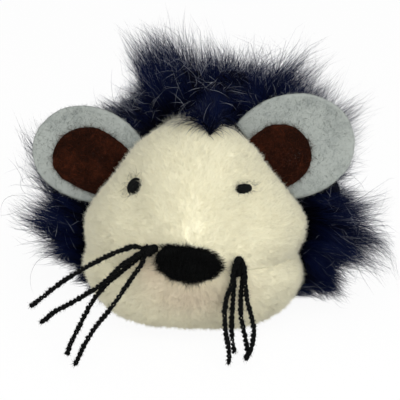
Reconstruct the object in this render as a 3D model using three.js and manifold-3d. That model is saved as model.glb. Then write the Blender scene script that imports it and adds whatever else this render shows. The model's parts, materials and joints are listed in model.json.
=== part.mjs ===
// Catnip mouse: a stuffed toy with a plush face, a long-pile fur back, felt ears and yarn whiskers.
// Millimetres, +Z up. The nose points along -Y and the toy rests on its belly at z = 0.
// Left and right are those of a viewer who faces the nose.
import * as THREE from "three";
import { mergeVertices } from "three/addons/utils/BufferGeometryUtils.js";
import Module from "manifold-3d";

const wasm = await Module();
wasm.setup();

// Stuffed body, measured on the skin without the fur
const BODY_WIDTH = 80;
const BODY_HEIGHT = 72;
const BELLY_PRESS = 0.5; // how far the belly is flattened where it rests
const FACE_LENGTH = 34; // widest girth to the foot of the muzzle
const MUZZLE_LENGTH = 7;
const MUZZLE_WIDTH = 40;
const REAR_LENGTH = 58; // widest girth to the tail end
const CROWN_TAPER = 0.24; // share of the width that the body loses above the cheeks
const TAPER_START = -0.1; // height of the cheeks over the axis, as a share of half the height
const TAPER_REACH = 0.75;
const BELLY_POWER = 3; // power of the section's oval below the axis: 2 is round, more is squarer
const CHIN_POWER = 2.6; // power of the profile's oval below the nose
const RUMP_POWER = 3; // and below the tail end

// Seams: each one draws the stuffed skin in
const SEAM_GAP = 0.3; // between two panels
const FACE_SEAM_LEAN = 5; // how far back the face seam lies at the crown
const FACE_SEAM_DEPTH = 3;
const FACE_SEAM_REACH = 5;
const MOUTH_DROP = 9; // how far the mouth seam falls from the nose to the face seam
const MOUTH_DEPTH = 4;
const MOUTH_REACH = 4.5;
const BELLY_SEAM_HEIGHT = 8;
const NOTCH_WIDTH = 9; // V notch in the forehead
const NOTCH_DEPTH = 9;
const NOTCH_OFFSET = 5;
const NOTCH_CUT = 16; // height of the cutter, through the plush and the seam

// Fabrics and fur
const PLUSH_THICKNESS = 2;
const PILE_DEPTH = 20; // of the fur at the crown and the flanks
const PILE_REAR = 15; // and at the tail end, where it lies flatter
const PILE_LOW = 7; // and at the belly seam
const PILE_RISE = 9; // length over which the fur reaches its depth behind the face seam
const PILE_CLIMB = 26; // height over which it does so above the belly seam
const PILE_FALL_START = 22; // behind the face seam, where the fur begins to lie flatter
const PILE_FALL = 32;
const TUFT_DEPTH = 1.5;
const TUFT_LENGTH = 26;
const TUFTS_AROUND = 9;
const SEAT_GAP = 0.3; // between a piece and what it is sewn to

// Felt ears
const EAR_LENGTH = 31;
const EAR_FELT = 2;
const EAR_CUP = 4; // how far the rim curls forward
const EAR_LEAN = 6; // degrees, back from the face seam
const EAR_FOLD_BACK = 22; // degrees, the room that the fur leaves behind an ear
const EAR_ROOT_RADIUS = 1.2;
const EAR_ROOT_LIFT = 0.8; // middle of the root to the seam, less its radius
const EAR_SEWN_ANGLE = 0.25; // radians of the girth, from the middle of the root to the places that aim it
const LINING_FELT = 1.2;
const LINING_START = 2; // gap from the root to the lining's edge
// Each outline has a width, a length and a base at the root. widest is the height of the widest place above
// the root, shift moves the outline along the root, and height is that of the root's middle over the floor.
const EAR_LEFT = { height: 52, width: 31.5, length: EAR_LENGTH, base: 26, widest: 11, shift: -1.2 };
const EAR_RIGHT = { height: 55, width: 36, length: EAR_LENGTH, base: 29, widest: 10, shift: -1.4 };
const LINING_LEFT = { width: 22.5, length: 18, base: 17, widest: 9, shift: -1.2 };
const LINING_RIGHT = { width: 23, length: 12, base: 21, widest: 4, shift: 0.6 };

// Embroidered eyes and yarn nose
const EYE_LEFT = { x: -19, z: 55.6, length: 4.8, breadth: 3.6, tilt: 42 }; // tilt in degrees
const EYE_RIGHT = { x: 18, z: 54.9, length: 4.9, breadth: 2.8, tilt: -14 };
const EYE_THICKNESS = 1.2;
const NOSE_WIDTH = 20.4;
const NOSE_HEIGHT = 11.4;
const NOSE_THICKNESS = 5;
const NOSE_OFFSET = 0.2;
const NOSE_RISE = 0.5; // above the body's axis
const NOSE_TILT = -7; // degrees
const NOSE_PINCH = 0.3; // how far the two ends are drawn to points: 0 is an oval
const PAD_EDGE = 0.2; // thickness of a pad's edge, as a share of its middle

// Yarn whiskers
const YARN = 1.6;
const YARN_STEP = 2.5; // diameters from ring to ring
const KNOT_RADIUS = 2;
const ROOT_LEFT = { x: -11.7, rise: 3.2 }; // rise over the body's axis
const ROOT_RIGHT = { x: 15.5, rise: 1 };

// Catnip sachet, in the middle of the filling
const SACHET_RADIUS = 17;
const SACHET_DEPTH = 12;
const SACHET_HEM = 3;
const MUSLIN = 0.6;
const SACHET_PLACE = 6; // behind the widest girth

// Facets
const FACE_RINGS = 15;
const BACK_RINGS = 13;
const SIDES_ABOVE = 24; // of the mouth seam
const SIDES_BELOW = 16;
const PAD_RINGS = 4;
const PAD_SIDES = 20;
const YARN_SIDES = 8;
const ROOT_SIDES = 12;
const KNOT_SIDES = 14;
const KNOT_RINGS = 10;
const SACHET_SIDES = 16;
const SACHET_STEPS = 4;
const EAR_RINGS = [0.4, 0.75, 1]; // shares of the way to the rim
const FACE_GATHER = 0.35; // how strongly rings gather at the face seam, in front of it and behind it
const BACK_GATHER = 0.5;
const SIDE_GATHER = 0.4; // how strongly sides gather at the ends of the mouth seam
const PASSES = 8; // of a search for a place on the skin

const HALF_WIDTH = BODY_WIDTH / 2;
const HALF_HEIGHT = BODY_HEIGHT / 2;
const AXIS_HEIGHT = HALF_HEIGHT - BELLY_PRESS;
const MOUTH_ANGLE = Math.asin((MOUTH_DROP / HALF_HEIGHT) ** (BELLY_POWER / 2));
const BEYOND = 2 * (BODY_WIDTH + BODY_HEIGHT + FACE_LENGTH + REAR_LENGTH + PILE_DEPTH);

const cream = { color: 0xe2dbb8, roughness: 0.95 };
const navy = { color: 0x0f1630, roughness: 0.8 };
const greyFelt = { color: 0xb4bab6, roughness: 0.95 };
const brownFelt = { color: 0x3f1a0c, roughness: 0.95 };
const blackYarn = { color: 0x100e0d, roughness: 0.9 };
const white = { color: 0xf2f0ea, roughness: 1 };
const muslin = { color: 0xd9cfb4, roughness: 0.95 };
const herb = { color: 0x6d7442, roughness: 1 };

function named(name, geometry, finish) {
  const mesh = new THREE.Mesh(geometry, new THREE.MeshStandardMaterial({ ...finish, metalness: 0 }));
  mesh.name = name;
  return mesh;
}

function bell(value, reach) {
  return Math.exp(-((value / reach) ** 2));
}

function ramp(value) {
  const share = Math.min(Math.max(value, 0), 1);
  return share * share * (3 - 2 * share);
}

// Solids for cutting and joining
function solid(geometry) {
  const plain = geometry.clone();
  plain.deleteAttribute("normal");
  plain.deleteAttribute("uv");
  const merged = mergeVertices(plain, 1e-4);
  return new wasm.Manifold(
    new wasm.Mesh({
      numProp: 3,
      vertProperties: new Float32Array(merged.attributes.position.array),
      triVerts: new Uint32Array(merged.index.array),
    }),
  );
}

function surface(body) {
  const mesh = body.getMesh();
  const geometry = new THREE.BufferGeometry();
  geometry.setAttribute("position", new THREE.BufferAttribute(new Float32Array(mesh.vertProperties), 3));
  geometry.setIndex(new THREE.BufferAttribute(new Uint32Array(mesh.triVerts), 1));
  geometry.computeVertexNormals();
  return geometry;
}

// A closed mesh from rows of points that run round between two end points
function closedRows(first, rows, last) {
  const points = [first, ...rows.flat(), last];
  const sides = rows[0].length;
  const index = [];
  const at = (row, side) => 1 + row * sides + (side % sides);
  for (let side = 0; side < sides; side++) {
    index.push(0, at(0, side), at(0, side + 1));
    for (let row = 0; row + 1 < rows.length; row++) {
      index.push(at(row, side), at(row + 1, side), at(row + 1, side + 1));
      index.push(at(row, side), at(row + 1, side + 1), at(row, side + 1));
    }
    index.push(at(rows.length - 1, side), points.length - 1, at(rows.length - 1, side + 1));
  }
  const geometry = new THREE.BufferGeometry().setFromPoints(points);
  geometry.setIndex(index);
  geometry.computeVertexNormals();
  return geometry;
}

// The skin is an egg along Y: along runs from 0 at the nose to pi at the tail,
// and around runs from 0 at +X by way of the crown.
function seamPlace(z) {
  return (FACE_SEAM_LEAN * (z - AXIS_HEIGHT)) / HALF_HEIGHT;
}

function raised(value, power) {
  return Math.sign(value) * Math.abs(value) ** (2 / power);
}

// One turn of the section, as shares of half the width and height: pear shaped, and square below the axis
function sectionPlace(around) {
  const power = Math.sin(around) > 0 ? 2 : BELLY_POWER;
  const up = raised(Math.sin(around), power);
  return { across: raised(Math.cos(around), power) * crownTaper(up), up };
}

function crownTaper(up) {
  return 1 - CROWN_TAPER * ramp((up - TAPER_START) / TAPER_REACH);
}

// The profile is round, and fuller down the chin and the rump
function profilePower(along, around) {
  const low = along < Math.PI / 2 ? CHIN_POWER : RUMP_POWER;
  return 2 + (low - 2) * Math.max(-Math.sin(around), 0);
}

function skinPlace(along, around) {
  const profile = profilePower(along, around);
  const section = sectionPlace(around);
  const girth = raised(Math.sin(along), profile);
  const front = along < Math.PI / 2;
  const muzzle = front ? MUZZLE_LENGTH * bell(girth, MUZZLE_WIDTH / BODY_WIDTH) * Math.cos(along) : 0;
  const y = -raised(Math.cos(along), profile) * (front ? FACE_LENGTH : REAR_LENGTH) - muzzle;
  const height = AXIS_HEIGHT + HALF_HEIGHT * girth * section.up;
  const fromSeam = y - seamPlace(height);
  const fromMouth = Math.asin(Math.sin(around)) + MOUTH_ANGLE;
  const seam = FACE_SEAM_DEPTH * bell(fromSeam, FACE_SEAM_REACH) * ramp(height / BELLY_SEAM_HEIGHT);
  const crease = MOUTH_DEPTH * bell(fromMouth, MOUTH_REACH / HALF_WIDTH) * girth * girth;
  const mouth = crease * (1 - ramp(fromSeam / FACE_SEAM_REACH));
  const full = girth * (1 - (seam + mouth) / HALF_WIDTH);
  return new THREE.Vector3(
    HALF_WIDTH * full * section.across,
    y,
    AXIS_HEIGHT + HALF_HEIGHT * full * section.up,
  );
}

function skinNormal(along, around) {
  const step = 1e-3;
  const lengthwise = skinPlace(along + step, around).sub(skinPlace(along - step, around));
  const sideways = skinPlace(along, around + step).sub(skinPlace(along, around - step));
  return lengthwise.cross(sideways).normalize();
}

function skinAt(along, around, proud) {
  return skinPlace(along, around).addScaledVector(skinNormal(along, around), proud);
}

// Where the face seam crosses the line that runs from nose to tail at around
function seamAlong(around) {
  let along = Math.PI / 2;
  for (let pass = 0; pass < PASSES; pass++) {
    const place = skinPlace(along, around);
    const reach = place.y < 0 ? FACE_LENGTH : REAR_LENGTH;
    along += (seamPlace(place.z) - place.y) / reach;
  }
  return along;
}

// Points gather at the seams: rings at the face seam, sides at the two ends of the mouth seam
function ringAlong(ring, around) {
  const seam = seamAlong(around);
  if (ring <= FACE_RINGS) {
    const share = ring / FACE_RINGS;
    return seam * share * (1 + FACE_GATHER - FACE_GATHER * share);
  }
  const share = (ring - FACE_RINGS) / BACK_RINGS;
  return seam + (Math.PI - seam) * share * (1 - BACK_GATHER + BACK_GATHER * share);
}

function sideAngles() {
  const gather = (share) => share - (SIDE_GATHER * Math.sin(2 * Math.PI * share)) / (2 * Math.PI);
  const above = Math.PI + 2 * MOUTH_ANGLE;
  const angles = [];
  for (let side = 0; side < SIDES_ABOVE; side++) {
    angles.push(-MOUTH_ANGLE + above * gather(side / SIDES_ABOVE));
  }
  for (let side = 0; side < SIDES_BELOW; side++) {
    angles.push(Math.PI + MOUTH_ANGLE + (2 * Math.PI - above) * gather(side / SIDES_BELOW));
  }
  return angles;
}

// The egg with every point moved out by proud(along, around)
function egg(proud) {
  const nose = skinPlace(0, 0);
  nose.y -= proud(0, 0);
  const tail = skinPlace(Math.PI, 0);
  tail.y += proud(Math.PI, 0);
  const rows = [];
  for (let ring = 1; ring < FACE_RINGS + BACK_RINGS; ring++) {
    rows.push(
      sideAngles().map((around) => {
        const along = ringAlong(ring, around);
        return skinAt(along, around, proud(along, around));
      }),
    );
  }
  return solid(closedRows(nose, rows, tail));
}

// Depth of the fur: it rises behind the face seam and above the belly seam, and swells into tufts
function pile(along, around) {
  const place = skinPlace(along, around);
  const behind = place.y - seamPlace(place.z);
  const tuft = Math.sin(TUFTS_AROUND * around) * Math.cos((2 * Math.PI * place.y) / TUFT_LENGTH);
  const high = PILE_DEPTH + (PILE_REAR - PILE_DEPTH) * ramp((behind - PILE_FALL_START) / PILE_FALL);
  const climb = ramp((place.z - BELLY_SEAM_HEIGHT) / PILE_CLIMB);
  const depth = PILE_LOW + (high + TUFT_DEPTH * tuft * Math.sin(along) - PILE_LOW) * climb;
  return depth * ramp(behind / PILE_RISE);
}

// A region of the side view, outlined by [y, z] points, as a solid right across the body
function sideRegion(points) {
  const outline = new THREE.Shape(points.map(([y, z]) => new THREE.Vector2(y, z)));
  const geometry = new THREE.ExtrudeGeometry(outline, { depth: 2 * BEYOND, bevelEnabled: false });
  geometry.translate(0, 0, -BEYOND);
  const across = new THREE.Vector3(1, 0, 0);
  const back = new THREE.Vector3(0, 1, 0);
  const up = new THREE.Vector3(0, 0, 1);
  geometry.applyMatrix4(new THREE.Matrix4().makeBasis(back, up, across));
  return solid(geometry);
}

function above(height) {
  return sideRegion([[-BEYOND, height], [BEYOND, height], [BEYOND, BEYOND], [-BEYOND, BEYOND]]);
}

function below(height) {
  return sideRegion([[-BEYOND, -BEYOND], [BEYOND, -BEYOND], [BEYOND, height], [-BEYOND, height]]);
}

function beforeSeam(gap) {
  const low = seamPlace(-BEYOND) - gap;
  const high = seamPlace(BEYOND) - gap;
  const front = -2 * BEYOND;
  return sideRegion([[front, -BEYOND], [low, -BEYOND], [high, BEYOND], [front, BEYOND]]);
}

function behindSeam(gap) {
  const low = seamPlace(-BEYOND) + gap;
  const high = seamPlace(BEYOND) + gap;
  const rear = 2 * BEYOND;
  return sideRegion([[low, -BEYOND], [rear, -BEYOND], [rear, BEYOND], [high, BEYOND]]);
}

// Seen from the side, the mouth seam falls from the nose to the face seam
function mouthLine(lift) {
  const line = [[-BEYOND, AXIS_HEIGHT + lift]];
  for (let ring = 0; ring <= FACE_RINGS; ring++) {
    const place = skinPlace(ringAlong(ring, -MOUTH_ANGLE), -MOUTH_ANGLE);
    line.push([place.y, place.z + lift]);
  }
  const end = line[line.length - 1];
  line.push([BEYOND, end[1]]);
  return line;
}

function aboveMouth() {
  return sideRegion([...mouthLine(SEAM_GAP / 2), [BEYOND, BEYOND], [-BEYOND, BEYOND]]);
}

function belowMouth() {
  return sideRegion([[-BEYOND, -BEYOND], [BEYOND, -BEYOND], ...mouthLine(-SEAM_GAP / 2).reverse()]);
}

// Half of space on one side of the middle, less half a seam
function sideOf(side) {
  const half = new THREE.BoxGeometry(BEYOND, 2 * BEYOND, 2 * BEYOND);
  half.translate((side * (BEYOND + SEAM_GAP)) / 2, 0, 0);
  return solid(half);
}

const skin = egg(() => 0).intersect(above(0));
const lining = egg(() => -PLUSH_THICKNESS).intersect(above(PLUSH_THICKNESS));
const shell = skin.subtract(lining);

// A V notch in the forehead, cut down through the top edge of the face
function foreheadNotch() {
  const seamEdge = skinPlace(Math.PI / 2, Math.PI / 2);
  const outline = new THREE.Shape();
  outline.moveTo(-NOTCH_WIDTH, NOTCH_DEPTH);
  outline.lineTo(0, -NOTCH_DEPTH);
  outline.lineTo(NOTCH_WIDTH, NOTCH_DEPTH);
  const wedge = new THREE.ExtrudeGeometry(outline, { depth: NOTCH_CUT, bevelEnabled: false });
  wedge.translate(NOTCH_OFFSET, seamPlace(seamEdge.z), seamEdge.z - NOTCH_CUT / 2);
  return solid(wedge);
}

function facePanel() {
  const panel = shell.intersect(beforeSeam(SEAM_GAP / 2)).intersect(aboveMouth());
  return named("face_panel", surface(panel.subtract(foreheadNotch())), cream);
}

function chinBellyPanel() {
  const chin = beforeSeam(SEAM_GAP / 2).intersect(belowMouth());
  const belly = below(BELLY_SEAM_HEIGHT - SEAM_GAP / 2);
  return named("chin_belly_panel", surface(shell.intersect(chin.add(belly))), cream);
}

function furPanels() {
  const fur = egg(pile).intersect(above(0)).subtract(lining);
  const back = fur.intersect(behindSeam(SEAM_GAP / 2)).intersect(above(BELLY_SEAM_HEIGHT + SEAM_GAP / 2));
  const left = back.intersect(sideOf(-1)).subtract(earRoom("left", EAR_LEFT));
  const right = back.intersect(sideOf(1)).subtract(earRoom("right", EAR_RIGHT));
  return [
    named("fur_panel_left", surface(left), navy),
    named("fur_panel_right", surface(right), navy),
  ];
}

// A round sachet lies across the filling: each half is turned about Y
function turned(profile) {
  const points = profile.map(([radius, height]) => new THREE.Vector2(radius, height));
  return new THREE.LatheGeometry(points, SACHET_SIDES).translate(0, SACHET_PLACE, 0);
}

// Half thickness of the herb at a radius
function herbDepth(radius) {
  const share = radius / (SACHET_RADIUS - SACHET_HEM);
  return share < 1 ? (SACHET_DEPTH / 2) * (1 - share * share) : 0;
}

function muslinProfile(side, near, far) {
  const inner = [];
  const outer = [];
  for (let step = 0; step <= SACHET_STEPS; step++) {
    const radius = ((SACHET_RADIUS - SACHET_HEM) * step) / SACHET_STEPS;
    inner.push([radius, side * (herbDepth(radius) + near)]);
    outer.push([radius, side * (herbDepth(radius) + far)]);
  }
  inner.push([SACHET_RADIUS, side * near]);
  outer.push([SACHET_RADIUS, side * far]);
  const loop = [...inner, ...outer.reverse()];
  return side > 0 ? loop : loop.reverse();
}

function lens(proud) {
  const outer = muslinProfile(1, 0, proud).slice(SACHET_STEPS + 2);
  const mirrored = outer.map(([radius, height]) => [radius, -height]).reverse();
  return [...mirrored, ...outer];
}

function sachet() {
  const herbEdge = [];
  for (let step = -SACHET_STEPS; step <= SACHET_STEPS; step++) {
    const radius = (SACHET_RADIUS - SACHET_HEM) * (1 - Math.abs(step) / SACHET_STEPS);
    herbEdge.push([radius, Math.sign(step) * herbDepth(radius)]);
  }
  const pieces = new THREE.Group();
  pieces.add(named("catnip_herb", turned(herbEdge), herb));
  pieces.add(named("sachet_front", turned(muslinProfile(-1, SEAT_GAP, SEAT_GAP + MUSLIN)), muslin));
  pieces.add(named("sachet_back", turned(muslinProfile(1, SEAT_GAP, SEAT_GAP + MUSLIN)), muslin));
  pieces.position.z = AXIS_HEIGHT;
  return pieces;
}

function fillings() {
  const inset = PLUSH_THICKNESS + SEAT_GAP;
  const pocket = solid(turned(lens(MUSLIN + 2 * SEAT_GAP)).translate(0, 0, AXIS_HEIGHT));
  const wad = egg(() => -inset).intersect(above(inset)).subtract(pocket);
  const split = new THREE.BoxGeometry(2 * BEYOND, 2 * BEYOND, 2 * BEYOND);
  const rear = split.clone().translate(0, BEYOND + SACHET_PLACE + SEAM_GAP / 2, 0);
  const front = split.clone().translate(0, SACHET_PLACE - SEAM_GAP / 2 - BEYOND, 0);
  return [
    named("filling_front", surface(wad.intersect(solid(front))), white),
    named("filling_rear", surface(wad.intersect(solid(rear))), white),
  ];
}

// The skin's own coordinates for a place seen from the front
function faceSpot(x, z) {
  const across = x / HALF_WIDTH;
  const up = (z - AXIS_HEIGHT) / HALF_HEIGHT;
  const power = up > 0 ? 2 : BELLY_POWER;
  let girth = 1;
  let wide = across;
  for (let pass = 0; pass < PASSES; pass++) {
    wide = across / crownTaper(up / girth);
    girth = (Math.abs(wide) ** power + Math.abs(up) ** power) ** (1 / power);
  }
  const around = Math.atan2(raised(up, 4 / power), raised(wide, 4 / power));
  const along = Math.asin(Math.min(girth, 1) ** (profilePower(0, around) / 2));
  return { along, around };
}

// A domed pad sewn on the face: outline(turn) gives its edge, seen from the front
function facePad(centre, outline, thickness) {
  const top = [];
  const under = [];
  const put = (share, turn, proud) => {
    const edge = outline(turn);
    const spot = faceSpot(centre.x + edge.x * share, centre.z + edge.y * share);
    return skinAt(spot.along, spot.around, SEAT_GAP + proud);
  };
  for (let ring = 1; ring <= PAD_RINGS; ring++) {
    const share = ring / PAD_RINGS;
    const dome = thickness * Math.max(Math.sqrt(1 - share * share), PAD_EDGE);
    const turns = Array.from({ length: PAD_SIDES }, (_, side) => (2 * Math.PI * side) / PAD_SIDES);
    top.push(turns.map((turn) => put(share, turn, dome)));
    under.unshift(turns.map((turn) => put(share, turn, 0)));
  }
  return closedRows(put(0, 0, thickness), [...top, ...under], put(0, 0, 0));
}

function tiltedOval(length, breadth, degrees, pinch) {
  const tilt = THREE.MathUtils.degToRad(degrees);
  return (turn) => {
    const narrow = Math.abs(Math.sin(turn)) ** pinch;
    const edge = new THREE.Vector2(Math.cos(turn) * length, Math.sin(turn) * narrow * breadth);
    return edge.multiplyScalar(0.5).rotateAround(new THREE.Vector2(), tilt);
  };
}

function eye(side, spot) {
  const oval = tiltedOval(spot.length, spot.breadth, spot.tilt, 0);
  return named(`eye_${side}`, facePad(spot, oval, EYE_THICKNESS), blackYarn);
}

// The nose is lemon shaped
function nose() {
  const lemon = tiltedOval(NOSE_WIDTH, NOSE_HEIGHT, NOSE_TILT, NOSE_PINCH);
  const centre = { x: NOSE_OFFSET, z: AXIS_HEIGHT + NOSE_RISE };
  return named("nose", facePad(centre, lemon, NOSE_THICKNESS), blackYarn);
}

// Felt ears. In an ear's own frame x runs along the sewn root, y out of the seam and z to the front.
function earCurl(whole, x, y) {
  return (EAR_CUP * ((2 * x) / whole.width) ** 2 * Math.max(y, 0)) / whole.length;
}

// Two half ovals that meet at the widest place, cut off straight at the root
function earOutline({ width, length, base, widest, shift }, start) {
  const cut = Math.sqrt(1 - (base / width) ** 2);
  const low = widest / cut;
  const from = -Math.asin(cut);
  const points = [];
  for (let side = 0; side <= PAD_SIDES; side++) {
    const turn = from + ((Math.PI - 2 * from) * side) / PAD_SIDES;
    const tall = Math.sin(turn) > 0 ? length - widest : low;
    const across = shift + (Math.cos(turn) * width) / 2;
    points.push(new THREE.Vector2(across, start + widest + tall * Math.sin(turn)));
  }
  return points;
}

function curledPlate(whole, outline, back, front) {
  const total = outline.reduce((sum, point) => sum.add(point), new THREE.Vector2());
  const middle = total.divideScalar(outline.length);
  const place = ({ x, y }, depth) => new THREE.Vector3(x, y, earCurl(whole, x, y) + depth);
  const ring = (share, depth) => outline.map((point) => place(middle.clone().lerp(point, share), depth));
  const before = EAR_RINGS.map((share) => ring(share, front));
  const behind = EAR_RINGS.toReversed().map((share) => ring(share, back));
  return closedRows(place(middle, front), [...before, ...behind], place(middle, back));
}

// The sewn root lies along the face seam, between two places a little way to either side of its middle
function earFrame(side, height) {
  const rise = Math.asin((height - AXIS_HEIGHT) / HALF_HEIGHT);
  const around = side === "left" ? Math.PI - rise : rise;
  const onSeam = (turn) => skinPlace(seamAlong(turn), turn);
  const sewn = onSeam(around - EAR_SEWN_ANGLE).sub(onSeam(around + EAR_SEWN_ANGLE)).normalize();
  const front = new THREE.Vector3(0, -1, seamPlace(AXIS_HEIGHT + 1)).normalize();
  const out = front.clone().cross(sewn).normalize();
  const root = onSeam(around).addScaledVector(out, EAR_ROOT_RADIUS + EAR_ROOT_LIFT);
  out.applyAxisAngle(sewn, -THREE.MathUtils.degToRad(EAR_LEAN));
  return new THREE.Matrix4().makeBasis(sewn, out, sewn.clone().cross(out)).setPosition(root);
}

// The fur parts behind an ear, so that it can fold back
function earRoom(side, whole) {
  const near = EAR_ROOT_RADIUS + SEAT_GAP;
  const far = whole.length + whole.width;
  const back = -near - far * Math.tan(THREE.MathUtils.degToRad(EAR_FOLD_BACK));
  const corners = [[near, -near], [near, far], [back, far], [-near, 0], [-near, -near]];
  const outline = new THREE.Shape(corners.map(([z, y]) => new THREE.Vector2(-z, y)));
  const width = whole.width + 2 * SEAT_GAP;
  const room = new THREE.ExtrudeGeometry(outline, { depth: width, bevelEnabled: false });
  room.translate(0, 0, whole.shift - width / 2).rotateY(Math.PI / 2);
  return solid(room.applyMatrix4(earFrame(side, whole.height)));
}

function ear(side, whole, inner) {
  const plate = curledPlate(whole, earOutline(whole, 0), -EAR_FELT / 2, EAR_FELT / 2);
  const root = new THREE.CylinderGeometry(EAR_ROOT_RADIUS, EAR_ROOT_RADIUS, whole.base, ROOT_SIDES);
  root.rotateZ(Math.PI / 2).translate(whole.shift, 0, 0);
  const felt = surface(solid(plate).add(solid(root)));
  const seat = EAR_FELT / 2 + SEAT_GAP;
  const patch = curledPlate(whole, earOutline(inner, LINING_START), seat, seat + LINING_FELT);
  const pieces = new THREE.Group();
  pieces.name = `ear_${side}`;
  pieces.add(named(`ear_${side}_felt`, felt, greyFelt));
  pieces.add(named(`ear_${side}_lining`, patch, brownFelt));
  earFrame(side, whole.height).decompose(pieces.position, pieces.quaternion, pieces.scale);
  return pieces;
}

// Whiskers. Each route is in millimetres from the middle of its knot.
const ROUTES_LEFT = [
  [
    [-2.06, 0.05, 1.22], [-4.2, -0.2, 1.5], [-7, -0.6, 0.6], [-11, -0.6, -1.2],
    [-17, 0.2, -5], [-27, 1, -12], [-34, 1.6, -18], [-38, 2, -21.6],
  ],
  [
    [-1.92, -1.39, -0.36], [-4.3, -2.5, -1.7], [-8, -2.4, -4.4], [-12.4, -2.8, -9.2],
    [-17, -3, -13], [-23, -3, -17], [-29, -2.8, -20.6], [-34, -2.6, -25],
  ],
  [
    [-1.49, 0.72, -1.73], [-3.4, 0.7, -3.6], [-7, -0.2, -6.4], [-12.4, -1, -11.2],
    [-16, -1.6, -15.6], [-19, -2.4, -20.6], [-21.4, -3.4, -25.4], [-24, -4.8, -30.4],
    [-25.4, -6, -34.4],
  ],
  [
    [-0.6, -1.08, -2.06], [-1.7, -2.2, -4.3], [-3.8, -3.4, -7], [-7.2, -5.2, -12],
    [-11.2, -7, -17.8], [-15.6, -8.8, -23.2], [-19, -10.4, -28.6], [-22, -11.6, -35],
  ],
];

const ROUTES_RIGHT = [
  [
    [-1.2, -1.8, -1.03], [-2, -3.2, -3], [-2.6, -4.1, -7], [-4.2, -4.8, -12],
    [-4.6, -5.6, -17.4], [-4, -6.6, -23], [-3, -7.4, -28], [-3, -8, -33],
  ],
  [
    [-1.32, -0.12, -1.99], [-2, -0.8, -4.2], [-1.9, -2, -7.4], [-2.2, -2.9, -13],
    [-2.4, -3.6, -19], [-2.2, -4.4, -25], [-1.4, -5, -30.4],
  ],
  [
    [1.08, -0.19, -2.14], [1.3, -0.8, -4.4], [0.6, -2, -7.4], [0.3, -2.9, -13],
    [0.5, -3.6, -18.6], [1.6, -4.4, -23], [2.6, -5, -28], [3.4, -5.4, -31],
  ],
  [
    [1.01, -1.85, -1.15], [1.6, -3.2, -3.2], [1.7, -4.1, -7], [2.4, -4.9, -12],
    [3.8, -5.6, -17], [4.8, -6.4, -22], [4.2, -7.2, -27], [2.4, -7.8, -31.4],
  ],
];

function yarn(route) {
  const section = new THREE.Shape();
  for (let side = 0; side < YARN_SIDES; side++) {
    const turn = (2 * Math.PI * side) / YARN_SIDES;
    const corner = new THREE.Vector2((Math.cos(turn) * YARN) / 2, (Math.sin(turn) * YARN) / 2);
    if (side === 0) {
      section.moveTo(corner.x, corner.y);
    } else {
      section.lineTo(corner.x, corner.y);
    }
  }
  const path = new THREE.CatmullRomCurve3(route.map((point) => new THREE.Vector3(...point)));
  const steps = Math.ceil(path.getLength() / (YARN_STEP * YARN));
  return new THREE.ExtrudeGeometry(section, { steps, extrudePath: path, bevelEnabled: false });
}

function whiskers(side, spot, routes) {
  const { along, around } = faceSpot(spot.x, AXIS_HEIGHT + spot.rise);
  const knot = new THREE.SphereGeometry(KNOT_RADIUS, KNOT_SIDES, KNOT_RINGS);
  const pieces = new THREE.Group();
  pieces.name = `whiskers_${side}`;
  pieces.add(named(`whisker_knot_${side}`, knot, blackYarn));
  routes.forEach((route, number) => {
    pieces.add(named(`whisker_${side}_${number + 1}`, yarn(route), blackYarn));
  });
  pieces.position.copy(skinAt(along, around, SEAT_GAP + KNOT_RADIUS));
  return pieces;
}

const mouse = new THREE.Group();
mouse.name = "catnip_mouse";
mouse.add(facePanel(), chinBellyPanel(), ...furPanels(), ...fillings(), sachet());
mouse.add(eye("left", EYE_LEFT), eye("right", EYE_RIGHT), nose());
mouse.add(ear("left", EAR_LEFT, LINING_LEFT), ear("right", EAR_RIGHT, LINING_RIGHT));
mouse.add(whiskers("left", ROOT_LEFT, ROUTES_LEFT), whiskers("right", ROOT_RIGHT, ROUTES_RIGHT));

export default mouse;
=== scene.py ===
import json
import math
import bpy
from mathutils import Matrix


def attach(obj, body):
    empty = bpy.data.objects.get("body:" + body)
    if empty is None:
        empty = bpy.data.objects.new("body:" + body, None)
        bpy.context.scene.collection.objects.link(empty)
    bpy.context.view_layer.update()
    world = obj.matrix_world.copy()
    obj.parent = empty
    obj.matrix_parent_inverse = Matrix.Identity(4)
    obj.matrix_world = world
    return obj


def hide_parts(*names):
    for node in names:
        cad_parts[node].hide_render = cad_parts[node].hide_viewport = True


bl_info = {
    "name": "Catnip mouse",
    "version": (1, 0, 0),
    "blender": (4, 5, 0),
    "location": "View3D > Sidebar > Mouse",
    "description": "Dresses the solids of a stuffed mouse in plush, fur, felt and yarn",
    "category": "Object",
}

import bpy
import numpy as np
from mathutils import Vector
from mathutils.kdtree import KDTree

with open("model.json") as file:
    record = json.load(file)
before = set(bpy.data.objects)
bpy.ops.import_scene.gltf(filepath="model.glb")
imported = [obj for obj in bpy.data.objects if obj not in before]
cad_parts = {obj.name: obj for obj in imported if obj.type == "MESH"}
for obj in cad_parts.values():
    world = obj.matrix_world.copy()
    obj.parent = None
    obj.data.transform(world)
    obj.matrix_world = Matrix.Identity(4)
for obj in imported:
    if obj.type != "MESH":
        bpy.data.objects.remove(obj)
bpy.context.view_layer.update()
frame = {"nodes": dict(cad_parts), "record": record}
JOINTS = {joint["name"]: joint for joint in frame["record"]["behaviour"]["joints"]}

# Shapes below are worked out in millimetres and made in metres
MM = 0.001

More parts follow.
